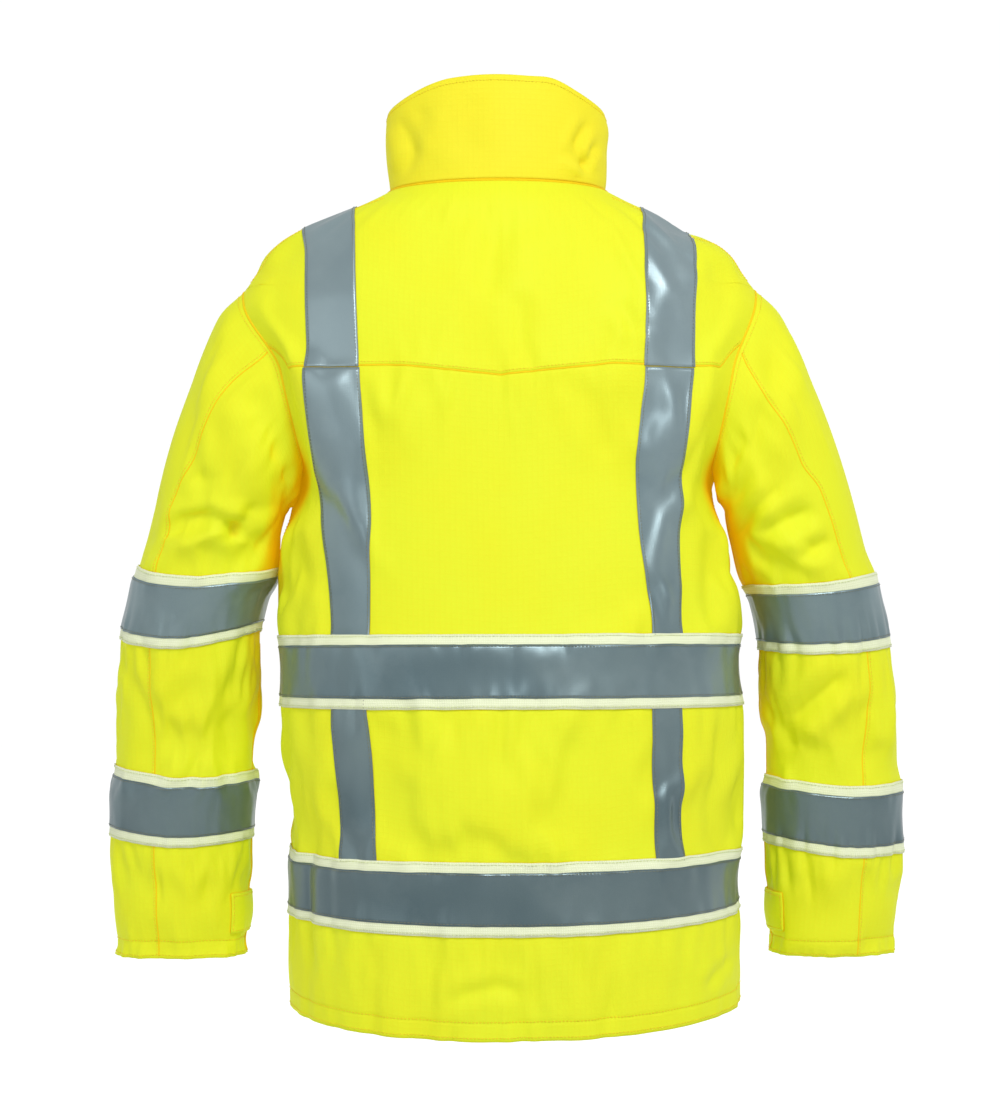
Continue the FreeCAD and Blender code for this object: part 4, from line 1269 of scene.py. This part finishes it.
def band_dip(name, place, us):
    outer, back, inner = BAND_DIP[name, place]
    ends = (outer + inner) / 2
    turn = np.radians(us)
    return (ends + back) / 2 + (outer - inner) / 2 * np.cos(turn) + (ends - back) / 2 * np.cos(2 * turn)


def sleeve_pieces():
    for name, side in SIDES.items():
        cloth = SLEEVES[name]
        shoulder, bend = blends(name, side)
        us = np.linspace(180.06, 539.94, 220)[:, None]
        join = SLEEVE_JOIN + band_dip(name, "upper", us)
        for kind, top, bottom, how in (
            ("upper_sleeve", ARMHOLE_DEPTH, join, shoulder), ("forearm", join - 0.002, CUFF_DEPTH, bend),
        ):
            share = rows(0.0, 1.0, 0.012, 0.948)[None]
            vs = top + (bottom - top) * share
            groove = hem_groove(vs, CUFF_DEPTH - 0.017)
            label = f"{name}_{kind}"
            piece = sheet_piece(label + "_cloth", cloth, us, vs, groove, SHELL, YELLOW)
            nodes = (label, name + "_under_sleeve") if kind == "upper_sleeve" else (label,)
            keep(label, piece, None, "shell_fabric", *nodes, blend=how)
        coarse = np.linspace(180.06, 539.94, 110)[:, None]
        for kind, top, bottom, how in (
            ("upper_sleeve_lining", ARMHOLE_DEPTH + 0.004, ELBOW_DEPTH - 0.0004, shoulder),
            ("forearm_lining", ELBOW_DEPTH - 0.0004, CUFF_DEPTH - 0.018, bend),
        ):
            label = f"{name}_{kind}"
            vs = rows(top, bottom, 0.008)[None]
            piece = sheet_piece(label + "_cloth", cloth.inside, coarse, vs, *LINING_LAYER)
            keep(label, piece, None, "lining_fabric", label, blend=how)
        vs = rows(CUFF_DEPTH - 0.022, CUFF_DEPTH - 0.0003, 0.004)[None]
        piece = sheet_piece(name + "_cuff_facing", cloth, coarse, vs, *FACING_LAYER)
        keep(name + "_cuff_facing", piece, name + "_forearm", "shell_fabric")
        for place, middle, body, how in (
            ("upper", UPPER_BAND_DEPTH, name + "_sleeve", shoulder),
            ("cuff", CUFF_BAND_DEPTH, name + "_forearm", None),
        ):
            for kind, width, top, thickness, material, slot in TAPE_LAYERS:
                vs = middle + band_dip(name, place, us) + width * np.linspace(-0.5, 0.5, 19)[None]
                label = f"{name}_{place}_{kind}"
                piece = sheet_piece(label + "_cloth", cloth, us, vs, top, thickness, material)
                keep(label, piece, body, slot, label, blend=how)
            ring = np.linspace(180, 540, 300)
            level = middle + band_dip(name, place, ring)
            sew_tape(body, cloth, ring, level, how)
        sleeve_seams(name, side, cloth, shoulder, bend)
        cuff_tab_pieces(name, cloth)


def sleeve_seams(name, side, cloth, shoulder, bend):
    ring = np.linspace(180, 540, 240)
    lap("coat", cloth, ring, ARMHOLE_DEPTH + 0.0004, 0.0020, 0.0006, blend=shoulder)
    sew("coat", cloth, ring, ARMHOLE_DEPTH + 0.0045, 0.0002, blend=shoulder)
    back_share = profile(BACK_SEAM[name], 1)
    for top, bottom, body, how in (
        (ARMHOLE_DEPTH + 0.004, UPPER_BAND_DEPTH, name + "_sleeve", shoulder),
        (UPPER_BAND_DEPTH + TAPE / 2 - 0.004, CUFF_BAND_DEPTH, name + "_forearm", bend),
        (CUFF_BAND_DEPTH, CUFF_DEPTH - 0.002, name + "_forearm", None),
    ):
        vs = np.linspace(top, bottom, 60)
        us = across_angle(vs, back_share(vs), 1, side)
        lap(body, cloth, us, vs, blend=how)
        sew(body, cloth, us + 2.2, vs, 0.0002, blend=how)
        lap(body, cloth, 180 + 0 * vs, vs, 0.0030, 0.0006, blend=how)
    sew(name + "_forearm", cloth, ring, CUFF_DEPTH - 0.017, 0.0)
    sew(name + "_forearm", cloth, ring, CUFF_DEPTH - 0.003, 0.0003)


CUFF_TAB_TOP, CUFF_TAB_BOTTOM = 0.702, 0.742
CUFF_TAB_LAYER = (0.0027, 0.0022, YELLOW)
CUFF_TAB_STITCH_RISE, CUFF_TAB_STITCH_INSET = 0.0029, 0.003


def cuff_tab_pieces(name, cloth):
    """Each cuff's strap: the root stays on the forearm and the tab turns on its own hinge."""
    depths = np.linspace(CUFF_TAB_TOP, CUFF_TAB_BOTTOM, 13)
    first, last = depths[0] + CUFF_TAB_STITCH_INSET, depths[-1] - CUFF_TAB_STITCH_INSET
    for kind, start, stop, body, slot in (
        ("cuff_tab_root", 151.2, 215.0, name + "_forearm", "shell_fabric"),
        ("cuff_tab", 78.0, 148.8, name + "_cuff_tab", "shell_fabric"),
    ):
        us = np.linspace(start, stop, 44)[:, None]
        label = f"{name}_{kind}"
        piece = sheet_piece(label + "_cloth", cloth, us, depths[None], *CUFF_TAB_LAYER)
        keep(label, piece, body, slot, label)
        line = np.linspace(start + 1.2, stop - 1.2, 60)
        for level in (first, last):
            sew(body, cloth, line, level, CUFF_TAB_STITCH_RISE)
        down = np.linspace(first, last, 30)
        end = stop - 2.0 if kind == "cuff_tab_root" else start + 2.0
        sew(body, cloth, end + 0 * down, down, CUFF_TAB_STITCH_RISE)


# ---------------------------------------------------------------- front pieces
LEAN = math.atan(FRONT_LEAN)


def on_front(x, forward, down):
    """A point by its x, its distance in front of the zip plane and its distance along the plane."""
    x, forward, down = np.broadcast_arrays(*(np.asarray(a, float) for a in (x, forward, down)))
    y = -FRONT_AT_NECK - forward * math.cos(LEAN) - down * math.sin(LEAN)
    z = -down * math.cos(LEAN) + forward * math.sin(LEAN)
    return np.stack([x, y, z], -1)


FLAP_FREE_X, FLAP_HINGE_X = -0.036, 0.044
FLAP_TOP, FLAP_BOTTOM = 0.004, 0.814
FLAP_STAND_OFF, FLAP_THICKNESS = 0.009, 0.002
FLAP_CORNER = 0.014


class Patch:
    """A surface on the coat's front, sampled like the draped cloths."""

    step = 0.0005

    def normal(self, us, vs):
        step = self.step
        a = self.at(us + step, vs) - self.at(us - step, vs)
        b = self.at(us, vs + step) - self.at(us, vs - step)
        n = np.cross(a, b)
        n /= np.linalg.norm(n, axis=-1, keepdims=True)
        return np.where(n[..., 1:2] < 0, n, -n)


class Flat(Patch):
    """A flat or bent sheet in the front's own plane."""

    def __init__(self, forward):
        self.forward = forward

    def at(self, us, vs, offset=0.0):
        return on_front(us, self.forward(us, vs) + offset, vs)


def flap_wave(us, vs):
    """Slight waviness of the hanging storm flap, none at its hinge."""
    share = np.clip((FLAP_HINGE_X - us) / (FLAP_HINGE_X - FLAP_FREE_X), 0, 1)
    wave = 0.0011 * np.sin(vs * 31) + 0.0007 * np.sin(vs * 57 + 1.3) + 0.0004 * np.sin(vs * 113 + us * 40)
    return FLAP_STAND_OFF + FLAP_THICKNESS + share * wave


def storm_flap_pieces():
    cloth = Flat(flap_wave)
    vs = rows(FLAP_TOP, FLAP_BOTTOM, 0.005)
    depth = np.minimum(vs - FLAP_TOP, FLAP_BOTTOM - vs)
    inside = np.clip(FLAP_CORNER - depth, 0, FLAP_CORNER)
    start = FLAP_FREE_X + FLAP_CORNER - np.sqrt(FLAP_CORNER**2 - inside**2)
    us, vs = grid_between(start, 0 * start + FLAP_HINGE_X - 0.0005, vs, 26)
    piece = sheet_piece("storm_flap_cloth", cloth, us, vs, 0.0, FLAP_THICKNESS, YELLOW)
    keep("storm_flap", piece, "storm_flap", "shell_fabric", "storm_flap")
    for inset in (0.004, 0.010):
        line = np.linspace(FLAP_TOP + FLAP_CORNER, FLAP_BOTTOM - FLAP_CORNER, 300)
        sew("storm_flap", cloth, FLAP_FREE_X + inset + 0 * line, line, 0.0003)
    across = np.linspace(FLAP_FREE_X + FLAP_CORNER, FLAP_HINGE_X - 0.004, 40)
    for level in (FLAP_TOP + 0.004, FLAP_BOTTOM - 0.004):
        sew("storm_flap", cloth, across, level + 0 * across, 0.0003)

    high, low = FLAP_STAND_OFF + FLAP_THICKNESS, 0.0022

    def fall(us, vs):
        return low + (high - low) * (1 - smoothstep(us, FLAP_HINGE_X + 0.0005, FLAP_HINGE_X + 0.0075))

    root = Flat(fall)
    us = np.linspace(FLAP_HINGE_X + 0.0005, FLAP_HINGE_X + 0.011, 14)[:, None]
    piece = sheet_piece("storm_flap_root_cloth", root, us, rows(FLAP_TOP, FLAP_BOTTOM, 0.006)[None], 0.0,
                        0.0018, YELLOW)
    keep("storm_flap_root", piece, "coat", "shell_fabric", "storm_flap_root")
    line = np.linspace(FLAP_TOP + 0.004, FLAP_BOTTOM - 0.004, 300)
    sew("coat", root, FLAP_HINGE_X + 0.0092 + 0 * line, line, 0.0003)


# Each pocket's side, inner and outer x, mouth height, bottom height and the flap's drop.
POCKETS = {
    "left_pocket": (1, 0.066, 0.170, -0.540, -0.648, 0.046),
    "right_pocket": (-1, 0.066, 0.170, -0.540, -0.648, 0.046),
    "chest_pocket": (1, 0.066, 0.134, -0.262, -0.398, 0.044),
}
POCKET_DEPTH = 0.017
FLAP_SIDE = 0.004
FLAP_ROOT = 0.012


class OnFront(Patch):
    """A patch of the front panel, sampled by x and z and raised by its own profile."""

    step = 0.0004

    def __init__(self, side, raised):
        self.side, self.raised = side, raised

    def at(self, xs, zs, offset=0.0):
        xs, zs = np.broadcast_arrays(xs, zs)
        us = body_angle(self.side * xs, zs, -1)
        return BODY.at(us, zs, self.raised(xs, zs) + offset)


def edge_columns(start, stop, count, fine=0.006):
    """Positions across a pocket, closer together where its sides turn."""
    ends = np.linspace(0, fine, 9)
    middle = np.linspace(start + fine, stop - fine, count)[1:-1]
    return np.concatenate([start + ends, middle, stop - ends[::-1]])


def bag_profile(x0, x1, bottom):
    """How far a bellows pocket stands off the front: turned edges and a slight slump."""

    def raised(xs, zs):
        side_rise = smoothstep(np.minimum(xs - x0, x1 - xs), 0.0, 0.0045)
        foot_rise = smoothstep(zs - bottom, 0.0, 0.0045)
        slump = 0.0012 * np.sin((xs - x0) * 90) * smoothstep(zs - bottom, 0.01, 0.05)
        return 0.0016 + (POCKET_DEPTH - 0.0020 + slump) * side_rise * foot_rise

    return raised


def flap_profile(mouth):
    """How far a pocket's flap stands off the front: from its root out over the pocket."""

    def raised(xs, zs):
        share = smoothstep((mouth + FLAP_ROOT - zs) / (FLAP_ROOT - 0.002))
        return 0.0006 + 0.0016 + (POCKET_DEPTH + 0.0006) * share

    return raised


def pocket_pieces():
    for name, (side, x0, x1, mouth, bottom, drop) in POCKETS.items():
        cloth = OnFront(side, bag_profile(x0, x1, bottom))
        xs = edge_columns(x0, x1, 34)[:, None]
        foot = bottom + np.linspace(0.0055, 0, 9)
        zs = np.concatenate([np.linspace(mouth, bottom + 0.006, 32), foot])[None]
        piece = sheet_piece(name + "_cloth", cloth, xs, zs, 0.0, 0.0012, YELLOW)
        keep(name, piece, "coat", "shell_fabric", name)
        cloth = OnFront(side, flap_profile(mouth))
        xs = np.linspace(x0 - FLAP_SIDE, x1 + FLAP_SIDE, 40)
        zs = np.linspace(mouth + FLAP_ROOT, mouth - drop, 40)
        label = name + "_flap"
        piece = sheet_piece(label + "_cloth", cloth, xs[:, None], zs[None], 0.0, 0.0016, YELLOW)
        keep(label, piece, label, "shell_fabric", label)
        sew(label, cloth, xs[1:-1], zs[-1] + 0.003 + 0 * xs[1:-1], 0.0003)
        for edge in (xs[0] + 0.003, xs[-1] - 0.003):
            sew(label, cloth, edge + 0 * zs[1:-1], zs[1:-1], 0.0003)


# ---------------------------------------------------------------- laps and stitches
def ribbons(name, runs, material):
    """Raised laps with rounded edges: each run is a line of points and normals, a width and a thickness."""
    outline = np.array([
        (-0.5, -0.5), (-0.5, 0.45), (-0.42, 0.9), (-0.2, 1), (0.2, 1), (0.42, 0.9), (0.5, 0.45), (0.5, -0.5),
    ])
    vertices, faces, uvs, start = [], [], [], 0
    for points, normals, width, thickness in runs:
        along = np.gradient(points, axis=0)
        along /= np.maximum(np.linalg.norm(along, axis=-1, keepdims=True), 1e-9)
        sideways = np.cross(normals, along)
        ring = (
            points[:, None]
            + sideways[:, None] * (outline[None, :, :1] * width)
            + normals[:, None] * (outline[None, :, 1:] * thickness)
        )
        n, m = ring.shape[:2]
        walked = np.concatenate([[0], np.cumsum(np.linalg.norm(np.diff(points, axis=0), axis=-1))])
        i, j = np.meshgrid(np.arange(n - 1), np.arange(m), indexing="ij")
        after = (j + 1) % m
        quads = np.stack([i * m + j, (i + 1) * m + j, (i + 1) * m + after, i * m + after], -1)
        faces.append(quads.reshape(-1, 4) + start)
        for end, turn in ((0, 1), (n - 1, -1)):
            cap = end * m + np.array([(0, 1, 6, 7), (1, 2, 5, 6), (2, 3, 4, 5)])
            faces.append(cap[:, ::turn] + start)
        vertices.append(ring.reshape(-1, 3))
        uv = np.stack(np.broadcast_arrays(outline[None, :, 0] * width, walked[:, None]), -1)
        uvs.append(uv.reshape(-1, 2))
        start += n * m
    made = mesh_object(name, np.concatenate(vertices), np.concatenate(faces), np.concatenate(uvs))
    made.data.materials.append(material)
    return made


def make_laps_and_stitches():
    for number, ((body, how), runs) in enumerate(LAPS.items()):
        piece = ribbons(f"seam_laps_{number:02d}", runs, SEAM_SHADE_YELLOW)
        keep(piece.name, piece, body, "shell_fabric", blend=how)
    threads = {"yellow": YELLOW_THREAD, "grey": GREY_THREAD, "lime": LIME_THREAD}
    for number, ((body, colour, how), runs) in enumerate(SEWING.items()):
        piece = stitches(f"stitches_{number:02d}", runs, 0.0034, 0.0024, 0.00033, threads[colour])
        keep(piece.name, piece, body, "tape_base" if colour != "yellow" else "shell_fabric", blend=how)


def finish_hard_parts():
    """Better finishes on the CAD pieces that are kept: zip, studs and the hang loop."""
    finishes = {
        "zip_bottom_box": ZIP_PLASTIC, "left_zip_teeth": ZIP_PLASTIC, "right_zip_teeth": ZIP_PLASTIC,
        "left_zip_tape": ZIP_WEAVE, "right_zip_tape": ZIP_WEAVE, "zip_slider": STEEL, "zip_puller": STEEL,
        "storm_flap_stud_caps": STEEL, "storm_flap_studs": STEEL, "hang_loop": WEBBING,
    }
    for node, material in finishes.items():
        for material_slot in bpy.data.objects[node].material_slots:
            material_slot.material = material


def declare_sheets():
    """Goes through the pieces, skipping the seam laps and stitches, and does nothing with the rest."""
    for name, piece in PARTS.items():
        if name.startswith(("seam_laps", "stitches")):
            continue


back_pieces()
front_pieces()
collar_pieces()
band_pieces()
brace_pieces()
body_seams()
sleeve_pieces()
storm_flap_pieces()
pocket_pieces()
make_laps_and_stitches()
finish_hard_parts()
declare_sheets()


# ---------------------------------------------------------------- studio
def area_light(name, position, target, size, power, colour=(1, 1, 1)):
    data = bpy.data.lights.new(name, "AREA")
    data.shape = "RECTANGLE"
    data.size, data.size_y = size
    data.energy = power
    data.color = colour
    lamp = bpy.data.objects.new(name, data)
    bpy.context.scene.collection.objects.link(lamp)
    lamp.location = position
    lamp.rotation_euler = (Vector(target) - Vector(position)).to_track_quat("-Z", "Y").to_euler()


def studio_world():
    """A white wall in front of the coat, dimmer walls behind the camera and a dim ceiling."""
    world = bpy.data.worlds.new("studio")
    bpy.context.scene.world = world
    world.use_nodes = True
    tree = world.node_tree
    where = tree.nodes.new("ShaderNodeTexCoord")
    split = tree.nodes.new("ShaderNodeSeparateXYZ")
    tree.links.new(where.outputs["Generated"], split.inputs[0])
    both = tree.nodes.new("ShaderNodeMath")
    both.operation = "MULTIPLY"
    for number, (axis, low, high, to_low, to_high) in enumerate((
        ("Z", 0.28, 0.45, 1.02, 0.55), ("Y", -0.2, 0.3, 1.0, 0.62),
    )):
        ramp = tree.nodes.new("ShaderNodeMapRange")
        tree.links.new(split.outputs[axis], ramp.inputs["Value"])
        for key, value in (("From Min", low), ("From Max", high), ("To Min", to_low), ("To Max", to_high)):
            ramp.inputs[key].default_value = value
        tree.links.new(ramp.outputs["Result"], both.inputs[number])
    background = tree.nodes["Background"]
    background.inputs["Color"].default_value = (1, 1, 1, 1)
    tree.links.new(both.outputs[0], background.inputs["Strength"])


def studio_floor():
    """A plain white floor, lit from below beyond the coat as a light table is."""
    n = Nodes("studio_floor")
    where = n.add("ShaderNodeTexCoord").outputs["Object"]
    grain = n.noise(where, 40.0, 3.0)
    n.surface(
        Base_Color=n.mix(grain, rgba(0.80, 0.80, 0.80), rgba(0.84, 0.84, 0.84)), Roughness=0.9,
        Emission_Color=rgba(1, 1, 1), Emission_Strength=n.ramp(n.split(where)[1], -0.7, 0.2, 0.68, 0.0),
        Specular_IOR_Level=0.0,
    )
    bpy.ops.mesh.primitive_circle_add(vertices=96, radius=14, fill_type="NGON", location=(0, 0, HEM_Z - 0.35))
    floor = bpy.context.object
    floor.name = "studio_floor"
    floor.data.materials.append(n.material)


CAMERA_DISTANCE = 2.35
EYE_LEVEL = -0.449


def studio_camera():
    data = bpy.data.cameras.new("camera")
    data.sensor_width = 36
    data.lens = 75.84
    camera = bpy.data.objects.new("camera", data)
    bpy.context.scene.collection.objects.link(camera)
    pitch, roll = math.radians(2.0), math.radians(-0.2)
    ahead = Vector((0, -math.cos(pitch), math.sin(pitch)))
    turn = ahead.to_track_quat("-Z", "Y") @ Matrix.Rotation(roll, 3, "Z").to_quaternion()
    camera.location = (0.0045, CAMERA_DISTANCE, EYE_LEVEL)
    camera.rotation_euler = turn.to_euler()
    bpy.context.scene.camera = camera


studio_world()
studio_floor()
area_light("key", (-0.7, 2.5, 1.7), (0, 0, -0.25), (1.0, 1.0), 68)
area_light("fill", (1.9, 2.0, 0.4), (0, 0, -0.4), (1.4, 2.0), 8)
studio_camera()

scene = bpy.context.scene
scene.view_settings.view_transform = "Standard"
scene.view_settings.look = "None"
scene.view_settings.exposure = 0.0
